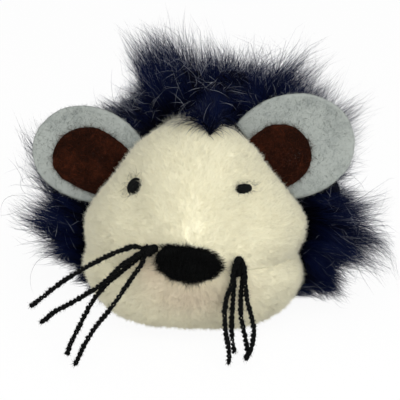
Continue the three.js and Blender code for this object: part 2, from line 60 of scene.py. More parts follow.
# The stuffed skin, with the sizes of the solids: the nose points along -Y
BODY_WIDTH = 80
BODY_HEIGHT = 72
BELLY_PRESS = 0.5
FACE_LENGTH = 34
MUZZLE_LENGTH = 7
MUZZLE_WIDTH = 40
REAR_LENGTH = 58
CROWN_TAPER = 0.24
TAPER_START = -0.1
TAPER_REACH = 0.75
BELLY_POWER = 3
CHIN_POWER = 2.6
RUMP_POWER = 3
FACE_SEAM_LEAN = 5
FACE_SEAM_DEPTH = 3
FACE_SEAM_REACH = 5
MOUTH_DROP = 9
MOUTH_DEPTH = 4
MOUTH_REACH = 4.5
BELLY_SEAM_HEIGHT = 8
# The notch in the forehead: its middle, half its width and how far it goes, in the skin's along
NOTCH_OFFSET = 5.2
NOTCH_HALF = 4.2
NOTCH_REACH = 0.42
# How far the plush stands over its backing, and how far the inside of a panel lies below the skin
PILE_STAND = 0.9
CLOTH_DEPTH = 1.6
# The fur's depth at the crown and flanks, at the rear and at the belly seam, and where it changes
PILE_DEPTH = 20
PILE_REAR = 15
PILE_LOW = 7
PILE_RISE = 9
PILE_CLIMB = 26
PILE_FALL_START = 22
PILE_FALL = 32
# The parting along the back: its share of the fur's depth, its half width, and where it begins
PARTING_DEPTH = 0.15
PARTING_WIDTH = 9
PARTING_START = 18
PARTING_RISE = 16
PARTING_LOW = 35
PARTING_CLIMB = 15
HALF_WIDTH = BODY_WIDTH / 2
HALF_HEIGHT = BODY_HEIGHT / 2
AXIS_HEIGHT = HALF_HEIGHT - BELLY_PRESS
MOUTH_ANGLE = math.asin((MOUTH_DROP / HALF_HEIGHT) ** (BELLY_POWER / 2))

# Each panel's rows from front to back and columns round the body
FACE_GRID = (56, 180)
CHIN_GRID = (70, 90)
COAT_GRID = (60, 110)
# Gaps at the seams, as angles on the skin, and at the belly seam in millimetres
SEAM_GAP = 0.006
COAT_OVERLAP = 0.002
TAIL_GAP = 0.04
BELLY_GAP = 0.3
# Where the first row lies, as a share of the way to the face seam, and the last, of the way to the tail
MUZZLE_START = 0.045
BELLY_END = 0.93

# Pieces sewn on the face
EYES = {
    "left": {"spot": (-19.3, 54.4), "size": (5.8, 2.9), "tilt": 50},
    "right": {"spot": (17.8, 55.0), "size": (5.0, 2.1), "tilt": -20},
}
NOSE_MIDDLE = (0.2, AXIS_HEIGHT + 0.8)
NOSE_SIZE = (20.4, 10.8, 5)
NOSE_TILT = -7

# Stuffing below the plush: how high or deep each form is, where it lies and how far it reaches
EYE_HOLLOW = 1.0
EYE_HOLLOW_REACH = 6
NOSE_HOLLOW = 0.8
NOSE_HOLLOW_REACH = 9
NOSE_HOLLOW_WIDE = 1.5
CHEEK_SWELL = 0.7
CHEEK_SPOT = (27, 40)
CHEEK_REACH = 11
BRIDGE_SWELL = 0.6
BRIDGE_HEIGHT = 52
BRIDGE_REACH = (8, 13)
# The left cheek is drawn in beside the nose and full below it
TUCK_DEPTH = 1.0
TUCK_HEIGHT = 41
TUCK_REACH = 12
JOWL_SWELL = 2.0
JOWL_HEIGHT = 26
JOWL_REACH = 5
LEFT_CHEEK_START = 14
LEFT_CHEEK_RISE = 26
LEFT_CHEEK_BACK = 3
# How far back the forms fade out
FACE_FADE = 12

# Whisker routes from the middle of each knot, as the solids have them
ROUTES = {
    "left": [
        [(-2.06, 0.05, 1.22), (-4.2, -0.2, 1.5), (-7, -0.6, 0.6), (-11, -0.6, -1.2), (-17, 0.2, -5),
         (-27, 1, -12), (-34, 1.6, -18), (-38, 2, -21.6)],
        [(-1.92, -1.39, -0.36), (-4.3, -2.5, -1.7), (-8, -2.4, -4.4), (-12.4, -2.8, -9.2),
         (-17, -3, -13), (-23, -3, -17), (-29, -2.8, -20.6), (-34, -2.6, -25)],
        [(-1.49, 0.72, -1.73), (-3.4, 0.7, -3.6), (-7, -0.2, -6.4), (-12.4, -1, -11.2),
         (-16, -1.6, -15.6), (-19, -2.4, -20.6), (-21.4, -3.4, -25.4), (-24, -4.8, -30.4),
         (-25.4, -6, -34.4)],
        [(-0.6, -1.08, -2.06), (-1.7, -2.2, -4.3), (-3.8, -3.4, -7), (-7.2, -5.2, -12),
         (-11.2, -7, -17.8), (-15.6, -8.8, -23.2), (-19, -10.4, -28.6), (-22, -11.6, -35)],
    ],
    "right": [
        [(-1.2, -1.8, -1.03), (-2, -3.2, -3), (-2.6, -4.1, -7), (-4.2, -4.8, -12), (-4.6, -5.6, -17.4),
         (-4, -6.6, -23), (-3, -7.4, -28), (-3, -8, -33)],
        [(-1.32, -0.12, -1.99), (-2, -0.8, -4.2), (-1.9, -2, -7.4), (-2.2, -2.9, -13),
         (-2.4, -3.6, -19), (-2.2, -4.4, -25), (-1.4, -5, -30.4)],
        [(1.08, -0.19, -2.14), (1.3, -0.8, -4.4), (0.6, -2, -7.4), (0.3, -2.9, -13), (0.5, -3.6, -18.6),
         (1.6, -4.4, -23), (2.6, -5, -28), (3.4, -5.4, -31)],
        [(1.01, -1.85, -1.15), (1.6, -3.2, -3.2), (1.7, -4.1, -7), (2.4, -4.9, -12), (3.8, -5.6, -17),
         (4.8, -6.4, -22), (4.2, -7.2, -27), (2.4, -7.8, -31.4)],
    ],
}


def linear(red, green, blue):
    """A colour given in 8-bit display values, as the linear values that Blender stores."""
    shares = [value / 255 for value in (red, green, blue)]
    return tuple(s / 12.92 if s <= 0.04045 else ((s + 0.055) / 1.055) ** 2.4 for s in shares)


def length_property(name, description, millimetres):
    """A length, given in millimetres."""
    return bpy.props.FloatProperty(
        name=name, description=description, default=millimetres * MM, min=0, precision=5,
        subtype="DISTANCE", unit="LENGTH",
    )


def colour_property(name, description, *display):
    """A colour, given in display values."""
    return bpy.props.FloatVectorProperty(
        name=name, description=description, size=3, default=linear(*display), min=0, max=1,
        subtype="COLOR",
    )


def count_property(name, description, count):
    """A number of like things."""
    return bpy.props.IntProperty(name=name, description=description, default=count, min=1)


class PlushSettings(bpy.types.PropertyGroup):
    """The short cream pile of the face, chin and belly."""

    pile: length_property("Pile", "Length of the plush pile", 1.45)
    fibre: length_property("Fibre", "Thickness of a tuft of plush at its root", 0.12)
    count: count_property("Tufts", "How many tufts of plush stand on the face, chin and belly", 150000)
    light: colour_property("Light", "Colour of the tips of the plush", 255, 251, 222)
    shade: colour_property("Shade", "Colour of the roots of the plush", 238, 230, 194)
    # The colour of painted shade below the nose and beside its left end, a darker, warmer cream
    blush: colour_property("NoseShade", "Warmer colour below the nose", 214, 190, 164)


class FurSettings(bpy.types.PropertyGroup):
    """The long navy pile of the back."""

    length: length_property("Length", "Usual length of a lock of fur", 22)
    fibre: length_property("Fibre", "Thickness of a lock of fur at its root", 0.28)
    count: count_property("Locks", "How many locks of fur stand on the back", 60000)
    clumps: count_property("Wisps", "How many wisps the locks gather into", 1500)
    tufts: count_property("Tufts", "How many large tufts the wisps gather into", 150)
    strays: count_property("Strays", "How many loose curled hairs lie over the fur", 900)
    # The near black at the skin is painted shade deep in the fur
    root: colour_property("Root", "Colour of the fur at the skin", 1, 1, 6)
    middle: colour_property("Middle", "Colour half way up", 4, 15, 50)
    tip: colour_property("Tip", "Colour of the silvered tips", 208, 212, 222)


class FeltSettings(bpy.types.PropertyGroup):
    """The felt of the ears and of their linings."""

    thickness: length_property("Thickness", "Thickness of the ear felt", 2)
    lining: length_property("Lining", "Thickness of the lining felt", 1.2)
    grey: colour_property("Grey", "Colour of the ears", 154, 159, 154)
    fleck: colour_property("Fleck", "Colour of the darker fibres in the ears", 122, 128, 125)
    brown: colour_property("Brown", "Colour of the linings", 28, 9, 3)
    rust: colour_property("Rust", "Colour of the redder fibres in the linings", 112, 54, 30)


class YarnSettings(bpy.types.PropertyGroup):
    """The black yarn of the whiskers, nose and eyes."""

    diameter: length_property("Diameter", "Diameter of the whisker yarn", 1.6)
    pitch: length_property("Twist", "Length of one turn of the two plies", 3.0)
    fuzz: length_property("Fuzz", "Length of the loose fibres", 1.0)
    black: colour_property("Black", "Colour of the yarn", 3, 4, 4)
    worn: colour_property("Worn", "Colour of the paler fibres", 15, 15, 14)


class StageSettings(bpy.types.PropertyGroup):
    """The camera, the floor and the light."""

    azimuth: bpy.props.FloatProperty(
        name="Azimuth", description="Turn of the camera from the front", default=math.radians(4),
        subtype="ANGLE", unit="ROTATION",
    )
    elevation: bpy.props.FloatProperty(
        name="Elevation", description="Height of the camera as an angle", default=math.radians(22),
        subtype="ANGLE", unit="ROTATION",
    )
    distance: length_property("Distance", "Camera to the object", 450)
    view: length_property("View", "Width of the view at the object", 136)
    floor: colour_property("Floor", "Colour of the floor", 255, 255, 255)
    ambient: bpy.props.FloatProperty(
        name="Ambient", description="Strength of the light from all round", default=0.62, min=0,
    )
    key: bpy.props.FloatProperty(
        name="Key", description="Power of the large lamp above the face", default=3.1, min=0,
        subtype="POWER", unit="POWER",
    )


# Forms of the skin


def ramp(value):
    """0 below 0, 1 above 1 and smooth between."""
    share = np.clip(value, 0, 1)
    return share * share * (3 - 2 * share)


def bell(value, reach):
    """1 at 0, falling away over reach on both sides."""
    return np.exp(-((value / reach) ** 2))


def raised(value, power):
    """A sine or cosine raised as in a superellipse of that power."""
    return np.sign(value) * np.abs(value) ** (2 / power)


def seam_place(z):
    """How far back the face seam lies at a height."""
    return FACE_SEAM_LEAN * (z - AXIS_HEIGHT) / HALF_HEIGHT


def behind_seam(place):
    """How far a place lies behind the face seam."""
    return place[..., 1] - seam_place(place[..., 2])


def crown_taper(up):
    """How much narrower the body is towards the crown."""
    return 1 - CROWN_TAPER * ramp((up - TAPER_START) / TAPER_REACH)


def profile_power(along, around):
    """How square the profile is: round above and fuller below."""
    low = np.where(along < math.pi / 2, CHIN_POWER, RUMP_POWER)
    return 2 + (low - 2) * np.maximum(-np.sin(around), 0)


def skin_place(along, around):
    """The skin at along, 0 at the nose and pi at the tail, and around, 0 at +X by way of the crown."""
    along, around = np.broadcast_arrays(along, around)
    profile = profile_power(along, around)
    power = np.where(np.sin(around) > 0, 2, BELLY_POWER)
    up = raised(np.sin(around), power)
    across = raised(np.cos(around), power) * crown_taper(up)
    girth = raised(np.sin(along), profile)
    front = along < math.pi / 2
    muzzle = np.where(front, MUZZLE_LENGTH * bell(girth, MUZZLE_WIDTH / BODY_WIDTH) * np.cos(along), 0)
    y = -raised(np.cos(along), profile) * np.where(front, FACE_LENGTH, REAR_LENGTH) - muzzle
    height = AXIS_HEIGHT + HALF_HEIGHT * girth * up
    from_seam = y - seam_place(height)
    from_mouth = np.arcsin(np.sin(around)) + MOUTH_ANGLE
    seam = FACE_SEAM_DEPTH * bell(from_seam, FACE_SEAM_REACH) * ramp(height / BELLY_SEAM_HEIGHT)
    crease = MOUTH_DEPTH * bell(from_mouth, MOUTH_REACH / HALF_WIDTH) * girth * girth
    mouth = crease * (1 - ramp(from_seam / FACE_SEAM_REACH))
    full = girth * (1 - (seam + mouth) / HALF_WIDTH)
    place = np.stack([HALF_WIDTH * full * across, y, AXIS_HEIGHT + HALF_HEIGHT * full * up], -1)
    place[..., 2] = np.maximum(place[..., 2], 0)
    return place


def unit(vectors):
    """Vectors of length 1."""
    return vectors / np.maximum(np.linalg.norm(vectors, axis=-1, keepdims=True), 1e-12)


def skin_frame(along, around, step=2e-3):
    """The skin's place, its normal and the way from nose to tail."""
    lengthwise = skin_place(along + step, around) - skin_place(along - step, around)
    sideways = skin_place(along, around + step) - skin_place(along, around - step)
    return skin_place(along, around), unit(np.cross(lengthwise, sideways)), unit(lengthwise)


def seam_along(around):
    """Where the face seam lies in the skin's along."""
    along = np.full(np.shape(around), math.pi / 2)
    for _ in range(8):
        place = skin_place(along, around)
        reach = np.where(place[..., 1] < 0, FACE_LENGTH, REAR_LENGTH)
        along = along + (seam_place(place[..., 2]) - place[..., 1]) / reach
    return along


def notch_depth(around):
    """How far the fur comes forward into the notch at the top of the forehead, in the skin's along."""
    place = skin_place(seam_along(around), around)
    share = np.clip(1 - np.abs(place[..., 0] - NOTCH_OFFSET) / NOTCH_HALF, 0, 1)
    return NOTCH_REACH * share * (np.sin(around) > 0)


def face_spot(x, z):
    """The skin's own coordinates for a place seen from the front."""
    across = np.asarray(x, float) / HALF_WIDTH
    up = (np.asarray(z, float) - AXIS_HEIGHT) / HALF_HEIGHT
    power = np.where(up > 0, 2, BELLY_POWER)
    girth = np.ones(np.broadcast(across, up).shape)
    for _ in range(8):
        wide = across / crown_taper(up / girth)
        girth = np.maximum((np.abs(wide) ** power + np.abs(up) ** power) ** (1 / power), 1e-6)
    around = np.arctan2(raised(up, 4 / power), raised(wide, 4 / power))
    along = np.arcsin(np.minimum(girth, 1) ** (profile_power(np.zeros_like(around), around) / 2))
    return along, around


def face_point(x, z, proud=0.0):
    """A place on the dressed face, seen from the front."""
    place, normal, _ = skin_frame(*face_spot(x, z))
    lift = np.asarray(proud, float) + face_swell(place)
    return place + normal * lift[..., None]


def face_swell(place):
    """The stuffing's own form: hollows at the eyes, a full bridge between them and full cheeks."""
    x, y, z = place[..., 0], place[..., 1], place[..., 2]
    swell = np.zeros(x.shape)
    for eye in EYES.values():
        swell -= EYE_HOLLOW * bell(np.hypot(x - eye["spot"][0], z - eye["spot"][1]), EYE_HOLLOW_REACH)
    swell += CHEEK_SWELL * bell(np.hypot(np.abs(x) - CHEEK_SPOT[0], z - CHEEK_SPOT[1]), CHEEK_REACH)
    swell += BRIDGE_SWELL * bell(x, BRIDGE_REACH[0]) * bell(z - BRIDGE_HEIGHT, BRIDGE_REACH[1])
    from_nose = np.hypot((x - NOSE_MIDDLE[0]) / NOSE_HOLLOW_WIDE, z - NOSE_MIDDLE[1])
    swell -= NOSE_HOLLOW * bell(from_nose, NOSE_HOLLOW_REACH)
    left_cheek = ramp((-x - LEFT_CHEEK_START) / LEFT_CHEEK_RISE) * ramp((LEFT_CHEEK_BACK - y) / FACE_FADE)
    tuck = TUCK_DEPTH * bell(z - TUCK_HEIGHT, TUCK_REACH) - JOWL_SWELL * bell(z - JOWL_HEIGHT, JOWL_REACH)
    return swell * ramp(-y / FACE_FADE) - tuck * left_cheek - PILE_STAND


# Meshes


def new_piece(name, points, faces, material, body="toy"):
    """An object from points in millimetres and triangles, riding on a body."""
    mesh = bpy.data.meshes.new(name)
    mesh.vertices.add(len(points))
    mesh.vertices.foreach_set("co", (points * MM).ravel())
    mesh.loops.add(faces.size)
    mesh.loops.foreach_set("vertex_index", faces.ravel().astype(np.int32))
    mesh.polygons.add(len(faces))
    mesh.polygons.foreach_set("loop_start", np.arange(0, faces.size, 3, dtype=np.int32))
    mesh.update(calc_edges=True)
    mesh.polygons.foreach_set("use_smooth", np.ones(len(faces), bool))
    mesh.materials.append(material)
    piece = bpy.data.objects.new(name, mesh)
    bpy.context.collection.objects.link(piece)
    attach(piece, body)
    return piece


def keep_values(piece, **values):
    """Stores a number for each vertex under a name that a material can read."""
    for name, numbers in values.items():
        layer = piece.data.attributes.new(name, "FLOAT", "POINT")
        layer.data.foreach_set("value", np.asarray(numbers, np.float32))


def joined(*parts):
    """Several (points, triangles) pairs as one."""
    points, faces, start = [], [], 0
    for part_points, part_faces in parts:
        points.append(part_points)
        faces.append(part_faces + start)
        start += len(part_points)
    return np.concatenate(points), np.concatenate(faces)


def grid_faces(rows, columns, wrap=False):
    """Quads, as pairs of triangles, of a grid of points stored row by row."""
    across = np.arange(columns if wrap else columns - 1)
    row, column = np.meshgrid(np.arange(rows - 1), across, indexing="ij")
    after = (column + 1) % columns
    a, b = row * columns + column, (row + 1) * columns + column
    c, d = (row + 1) * columns + after, row * columns + after
    return np.concatenate([np.stack([a, b, c], -1).reshape(-1, 3), np.stack([a, c, d], -1).reshape(-1, 3)])


def shell(outer, inner):
    """A closed sheet between two grids of points, whose first runs down the rows and then across."""
    rows, columns = outer.shape[:2]
    faces = grid_faces(rows, columns)
    count = rows * columns
    edge = np.concatenate([
        np.arange(columns - 1),
        np.arange(rows - 1) * columns + columns - 1,
        count - 1 - np.arange(columns - 1),
        (rows - 1 - np.arange(rows - 1)) * columns,
    ])
    after = np.roll(edge, -1)
    rim = [np.stack([edge, after, after + count], -1), np.stack([edge, after + count, edge + count], -1)]
    points = np.concatenate([outer.reshape(-1, 3), inner.reshape(-1, 3)])
    return points, np.concatenate([faces, faces[:, ::-1] + count, *rim])


def closed_rows(rows, ends):
    """A closed mesh from rings of points, with an end point before the first ring and one after the last."""
    sides = len(rows[0])
    ring = np.arange(sides)
    after = (ring + 1) % sides
    last = len(rows) * sides
    caps = [np.stack([np.full(sides, last), ring, after], -1),
            np.stack([np.full(sides, last + 1), last - sides + after, last - sides + ring], -1)]
    faces = grid_faces(len(rows), sides, wrap=True)
    return np.concatenate([*rows, np.array(ends)]), np.concatenate([faces, *caps])


def tube(path, radius, sides):
    """A closed round tube along points, with a radius for each."""
    path = np.asarray(path, float)
    radius = np.broadcast_to(radius, len(path))
    ahead = unit(np.gradient(path, axis=0))
    side = np.cross(ahead[0], (0.3, 0.9, 0.2) if abs(ahead[0][1]) < 0.8 else (1, 0, 0))
    rows = []
    for place, way, size in zip(path, ahead, radius):
        side = unit(side - way * side.dot(way))
        up = np.cross(way, side)
        turn = np.linspace(0, 2 * math.pi, sides, endpoint=False)[:, None]
        rows.append(place + size * (np.cos(turn) * side + np.sin(turn) * up))
    points = np.concatenate([*rows, path[:1], path[-1:]])
    last = len(path) * sides
    ring = np.arange(sides)
    after = (ring + 1) % sides
    faces = grid_faces(len(path), sides, wrap=True)[:, ::-1]
    start = np.stack([np.full(sides, last), after, ring], -1)
    end = np.stack([np.full(sides, last + 1), ring + last - sides, after + last - sides], -1)
    return points, np.concatenate([faces, start, end])


def strand_points(paths, radii):
    """Closed three-sided hairs: paths holds each hair's points from root to tip, radii all but the tip's."""
    count, places = paths.shape[:2]
    rings = places - 1
    way = unit(paths[:, -1] - paths[:, 0])
    helper = np.where(np.abs(way[:, 2:]) < 0.8, (0.0, 0.0, 1.0), (1.0, 0.0, 0.0))
    side = unit(np.cross(way, helper))
    up = np.cross(way, side)
    turn = 2 * math.pi * np.arange(3) / 3
    spread = np.cos(turn)[:, None] * side[:, None] + np.sin(turn)[:, None] * up[:, None]
    corners = paths[:, :-1, None] + radii[:, :, None, None] * spread[:, None]
    points = np.concatenate([corners.reshape(count, 3 * rings, 3), paths[:, -1:]], 1)
    faces = [(0, 2, 1)]
    for ring in range(rings - 1):
        for corner in range(3):
            a, b = 3 * ring + corner, 3 * ring + (corner + 1) % 3
            faces += [(a, b, b + 3), (a, b + 3, a + 3)]
    faces += [(3 * rings - 3 + c, 3 * rings - 3 + (c + 1) % 3, 3 * rings) for c in range(3)]
    each = 3 * rings + 1
    faces = np.array(faces)[None] + each * np.arange(count)[:, None, None]
    return points.reshape(-1, 3), faces.reshape(-1, 3)


# A hair's cell on the map: where its three sides lie across it, and its margin, height and stagger
MAP_SIDES = (0.1, 0.9, 0.5)
MAP_MARGIN = 0.04
MAP_HEIGHT = 0.84
MAP_STAGGER = 0.03


def hair_piece(name, paths, radii, tone, material, slot, body="toy", facing=None, **more):
    """One piece of many hairs, each in a cell of its own on the map that the colours are kept in.

    facing gives each hair the shading of the surface that it lies on."""
    points, faces = strand_points(paths, radii)
    piece = new_piece(name, points, faces, material, body)
    count, places = paths.shape[:2]
    along = np.append(np.repeat(np.linspace(0, 1, places)[:-1], 3), 1.0)
    each = len(along)
    per_point = {key: np.repeat(value, each) for key, value in more.items()}
    keep_values(piece, along=np.tile(along, count), tone=np.repeat(tone, each), **per_point)
    across = math.ceil(math.sqrt(count))
    cell = np.stack([np.arange(count) % across, np.arange(count) // across], -1)
    corner = np.append(np.tile(MAP_SIDES, places - 1), MAP_SIDES[-1])
    rise = along * MAP_HEIGHT + MAP_MARGIN
    rise[1:each - 1:3] += MAP_STAGGER
    place = np.stack([corner, rise], -1)[None] + cell[:, None]
    flat = (place / across).reshape(-1, 2)[faces.ravel()]
    piece.data.uv_layers.new(name="OFBake").data.foreach_set("uv", flat.astype(np.float32).ravel())
    if facing is not None:
        piece.data.normals_split_custom_set_from_vertices(np.repeat(facing, each, axis=0))
    return piece


def scattered(points, faces, count, rng, weight=None):
    """Random places on triangles, even over their area: places, normals and the triangle each lies on."""
    a, b, c = (points[faces[:, i]] for i in range(3))
    cross = np.cross(b - a, c - a)
    area = np.linalg.norm(cross, axis=1)
    if weight is not None:
        area = area * weight
    which = rng.choice(len(faces), count, p=area / area.sum())
    u, v = rng.random((2, count))
    over = u + v > 1
    u[over], v[over] = 1 - u[over], 1 - v[over]
    places = a[which] + u[:, None] * (b - a)[which] + v[:, None] * (c - a)[which]
    return places, unit(cross)[which], which


FUZZ_CURL = 0.22
FUZZ_TIP = 0.35


def fuzz(places, normals, way, length, width, rng, segments=1, loose=0.3):
    """Paths and radii of short fibres that lean along way from places on a surface."""
    count = len(places)
    lean = unit(normals + way + rng.normal(0, loose, (count, 3)))
    size = length * rng.uniform(0.6, 1.25, (count, 1))
    steps = np.linspace(0, 1, segments + 1)[None, :, None]
    curl = FUZZ_CURL * np.clip(rng.normal(0, 1, (count, 1, 3)), -1.6, 1.6) * size[:, None]
    paths = places[:, None] + lean[:, None] * size[:, None] * steps + curl * steps**2
    taper = np.linspace(1, FUZZ_TIP, segments)[None]
    return paths, width / 2 * taper * rng.uniform(0.7, 1.2, (count, 1))


def spline(route, spacing):
    """Even points on a smooth curve through a route."""
    route = np.asarray(route, float)
    ends = np.concatenate([[2 * route[0] - route[1]], route, [2 * route[-1] - route[-2]]])
    fine = []
    for p0, p1, p2, p3 in zip(ends, ends[1:], ends[2:], ends[3:]):
        t = np.linspace(0, 1, 24, endpoint=False)[:, None]
        fine.append(0.5 * (2 * p1 + (p2 - p0) * t + (2 * p0 - 5 * p1 + 4 * p2 - p3) * t**2
                           + (3 * p1 - p0 - 3 * p2 + p3) * t**3))
    fine = np.concatenate([*fine, route[-1:]])
    gone = np.concatenate([[0], np.cumsum(np.linalg.norm(np.diff(fine, axis=0), axis=1))])
    wanted = np.linspace(0, gone[-1], max(int(gone[-1] / spacing), 2) + 1)
    return np.stack([np.interp(wanted, gone, fine[:, i]) for i in range(3)], -1), gone[-1]


# Materials


class Shade:
    """A socket in a node tree. Operators on it add Math nodes to the same tree."""

    def __init__(self, tree, socket=None):
        self.tree = tree
        self.socket = socket

    def add(self, kind, settings=None, inputs=None, output=0):
        """Adds a node of any kind, with its settings first and then its sockets."""
        node = self.tree.nodes.new(kind)
        for name, value in (settings or {}).items():
            setattr(node, name, value)
        for name, value in (inputs or {}).items():
            if isinstance(value, Shade):
                self.tree.links.new(value.socket, node.inputs[name])
            else:
                node.inputs[name].default_value = value
        return Shade(self.tree, node.outputs[output] if node.outputs else None)

    def math(self, operation, *values):
        """Adds a Math node on values or sockets."""
        return self.add("ShaderNodeMath", {"operation": operation}, dict(enumerate(values)))

    def __add__(self, other):
        return self.math("ADD", self, other)

    def __radd__(self, other):
        return self.math("ADD", other, self)

    def __sub__(self, other):
        return self.math("SUBTRACT", self, other)

    def __rsub__(self, other):
        return self.math("SUBTRACT", other, self)

    def __mul__(self, other):
        return self.math("MULTIPLY", self, other)

    def __rmul__(self, other):
        return self.math("MULTIPLY", other, self)

    def __truediv__(self, other):
        return self.math("DIVIDE", self, other)

    def __rtruediv__(self, other):
        return self.math("DIVIDE", other, self)

    def clamped(self):
        """The value, held between 0 and 1."""
        return self.add("ShaderNodeClamp", None, {"Value": self, "Min": 0.0, "Max": 1.0})

    def eased(self, low, high):
        """0 below low, 1 above high and smooth between."""
        return self.add(
            "ShaderNodeMapRange", {"interpolation_type": "SMOOTHSTEP"},
            {"Value": self, "From Min": low, "From Max": high},
        )

    def value(self, name):
        """A number stored on the mesh."""
        return self.add("ShaderNodeAttribute", {"attribute_name": name}, output="Fac")

    def place(self):
        """The place on the piece, in metres."""
        return self.add("ShaderNodeTexCoord", output="Object")

    def noise(self, size, detail=2.0, roughness=0.5, at=None, distortion=0.0):
        """Noise whose features are about size millimetres."""
        return self.add(
            "ShaderNodeTexNoise", None,
            {"Vector": at or self.place(), "Scale": 1 / (size * MM), "Detail": detail,
             "Roughness": roughness, "Distortion": distortion},
        )

    def stretched(self, *factors):
        """The place, stretched along each axis."""
        return self.add("ShaderNodeVectorMath", {"operation": "MULTIPLY"}, {0: self.place(), 1: factors})

    def mixed(self, factor, first, second):
        """From the first colour at 0 to the second at 1."""
        colours = [colour if isinstance(colour, Shade) else (*colour, 1) for colour in (first, second)]
        inputs = {0: factor, 6: colours[0], 7: colours[1]}
        return self.add("ShaderNodeMix", {"data_type": "RGBA"}, inputs, 2)


def new_material(name):
    """A material with an empty node tree, and the tree to build it in."""
    material = bpy.data.materials.new(name)
    material.use_nodes = True
    tree = material.node_tree
    tree.nodes.clear()
    return material, Shade(tree)


def finished(shade, colour, roughness, bump=None, depth=0.2, strength=0.5, constants=None):
    """Ends a material with one shader: colour, roughness and bump may vary, constants don't."""
    inputs = {"Base Color": colour, "Roughness": roughness, **(constants or {})}
    if bump is not None:
        inputs["Normal"] = shade.add(
            "ShaderNodeBump", None, {"Height": bump, "Distance": depth * MM, "Strength": strength}
        )
    surface = shade.add("ShaderNodeBsdfPrincipled", None, inputs)
    shade.add("ShaderNodeOutputMaterial", None, {"Surface": surface})


def plush_material(settings):
    """Cream plush: paler at the tips, blotched, and with painted shade below the nose and beside it, in a
    darker, warmer cream.
    """
    material, shade = new_material("cream_plush")
    along, tone, blush = (shade.value(name) for name in ("along", "tone", "blush"))
    blotch = shade.noise(9, 3)
    pale = (along * 0.55 + tone * 0.35 + blotch * 0.3 - 0.1).clamped()
    colour = shade.mixed(pale, tuple(settings.shade), tuple(settings.light))
    # Painted shade below and beside the nose
    colour = shade.mixed(blush, colour, tuple(settings.blush))
    nap = shade.noise(0.7, 3, 0.65)
    finished(shade, colour, 0.86 + nap * 0.12, nap, 0.3, 0.35,
             {"Sheen Weight": 0.25, "Sheen Roughness": 0.6, "Specular IOR Level": 0.2})
    return material


def fur_material(settings):
    """Navy fur: near black at the skin as painted shade deep in the fur, with silvered tips on some locks."""
    material, shade = new_material("navy_fur")
    along, tone = shade.value("along"), shade.value("tone")
    start = 0.8 - tone * 0.4
    silver = ((along - start) / (1.04 - start)).eased(0, 1) * (tone * 1.15 - 0.15)
    # From the near black of painted shade at the skin to navy half way up
    colour = shade.mixed(along.eased(0.15, 0.9), tuple(settings.root), tuple(settings.middle))
    colour = shade.mixed(silver.clamped(), colour, tuple(settings.tip))
    finished(shade, colour, 0.6 + tone * 0.15, constants={"Specular IOR Level": 0.05})
    return material


def undercoat_material(settings):
    """The dense wool under the locks, coloured near black as painted shade deep in the fur."""
    material, shade = new_material("navy_undercoat")
    wool = shade.noise(1.1, 4, 0.7)
    # Mostly the near black of painted shade deep in the fur, with navy flecks
    colour = shade.mixed(wool.eased(0.45, 0.8) * 0.7, tuple(settings.root), tuple(settings.middle))
    finished(shade, colour, 0.85 + wool * 0.1, wool, 0.8, 0.9, {"Specular IOR Level": 0.05})
    return material


def felt_material(name, base, fleck, amount, sheen):
    """Pressed wool: flecks, crossed fibres and a soft nap."""
    material, shade = new_material(name)
    fleck_mask = shade.noise(1.5, 4, 0.7, distortion=0.6)
    first = shade.noise(0.5, 3, 0.7, shade.stretched(1, 0.22, 0.3), 1.2)
    second = shade.noise(0.5, 3, 0.7, shade.stretched(0.25, 1, 0.9), 1.2)
    fibre = first.math("MAXIMUM", first, second)
    cloud = shade.noise(7, 2)
    tone = shade.value("tone")
    mask = fleck_mask.eased(0.42, 0.72) * 0.6 + fibre.eased(0.52, 0.74) * 0.45
    mask = (mask + cloud.eased(0.35, 0.65) * 0.5 - 0.3) * amount
    colour = shade.mixed((mask + tone * 0.7).clamped(), base, fleck)
    finished(shade, colour, 0.88 + fibre * 0.1, fibre, 0.25, 0.7,
             {"Sheen Weight": sheen, "Sheen Roughness": 0.5, "Specular IOR Level": 0.06})
    return material


def yarn_material(name, settings, shine):
    """Black wool or thread with paler worn fibres."""
    material, shade = new_material(name)
    along = shade.value("along")
    fibre = shade.noise(0.35, 3, 0.7)
    worn = (fibre.eased(0.55, 0.85) * 0.6 + along * 0.25).clamped()
    colour = shade.mixed(worn, tuple(settings.black), tuple(settings.worn))
    finished(shade, colour, shine + fibre * 0.2, fibre, 0.15, 0.6, {"Specular IOR Level": 0.1})
    return material


def loose_material(name, light, dark, size, depth):
    """A fibrous or crumbled filling."""
    material, shade = new_material(name)
    lumps = shade.noise(size, 5, 0.7, distortion=0.8)
    colour = shade.mixed(lumps.eased(0.35, 0.7), dark, light)
    finished(shade, colour, 0.85 + lumps * 0.15, lumps, depth, 1.0)
    return material


def muslin_material():
    """Plain weave: two crossed sets of threads."""
    material, shade = new_material("muslin_weave")
    threads = []
    for direction in ("X", "Z"):
        wave = {"wave_type": "BANDS", "bands_direction": direction, "wave_profile": "SIN"}
        scale = {"Vector": shade.place(), "Scale": 320.0, "Distortion": 1.5, "Detail Scale": 2.0}
        threads.append(shade.add("ShaderNodeTexWave", wave, scale, 1))
    weave = threads[0].math("MAXIMUM", *threads)
    shown = weave * (0.7 + shade.noise(2, 2) * 0.4)
    colour = shade.mixed(shown, linear(150, 138, 108), linear(226, 216, 188))
    finished(shade, colour, 0.9 + weave * 0.08, weave, 0.2, 0.8)
    return material


# Plush


def share_of(count):
    return count


def face_grid():
    """The face: from the nose to its seam with the fur, between the two ends of the mouth seam."""
    rows, columns = FACE_GRID
    around = np.linspace(-MOUTH_ANGLE + SEAM_GAP, math.pi + MOUTH_ANGLE - SEAM_GAP, columns)
    end = seam_along(around) - SEAM_GAP - notch_depth(around)
    share = np.linspace(MUZZLE_START, 1, rows)[:, None]
    return end[None] * share, np.broadcast_to(around[None], FACE_GRID)


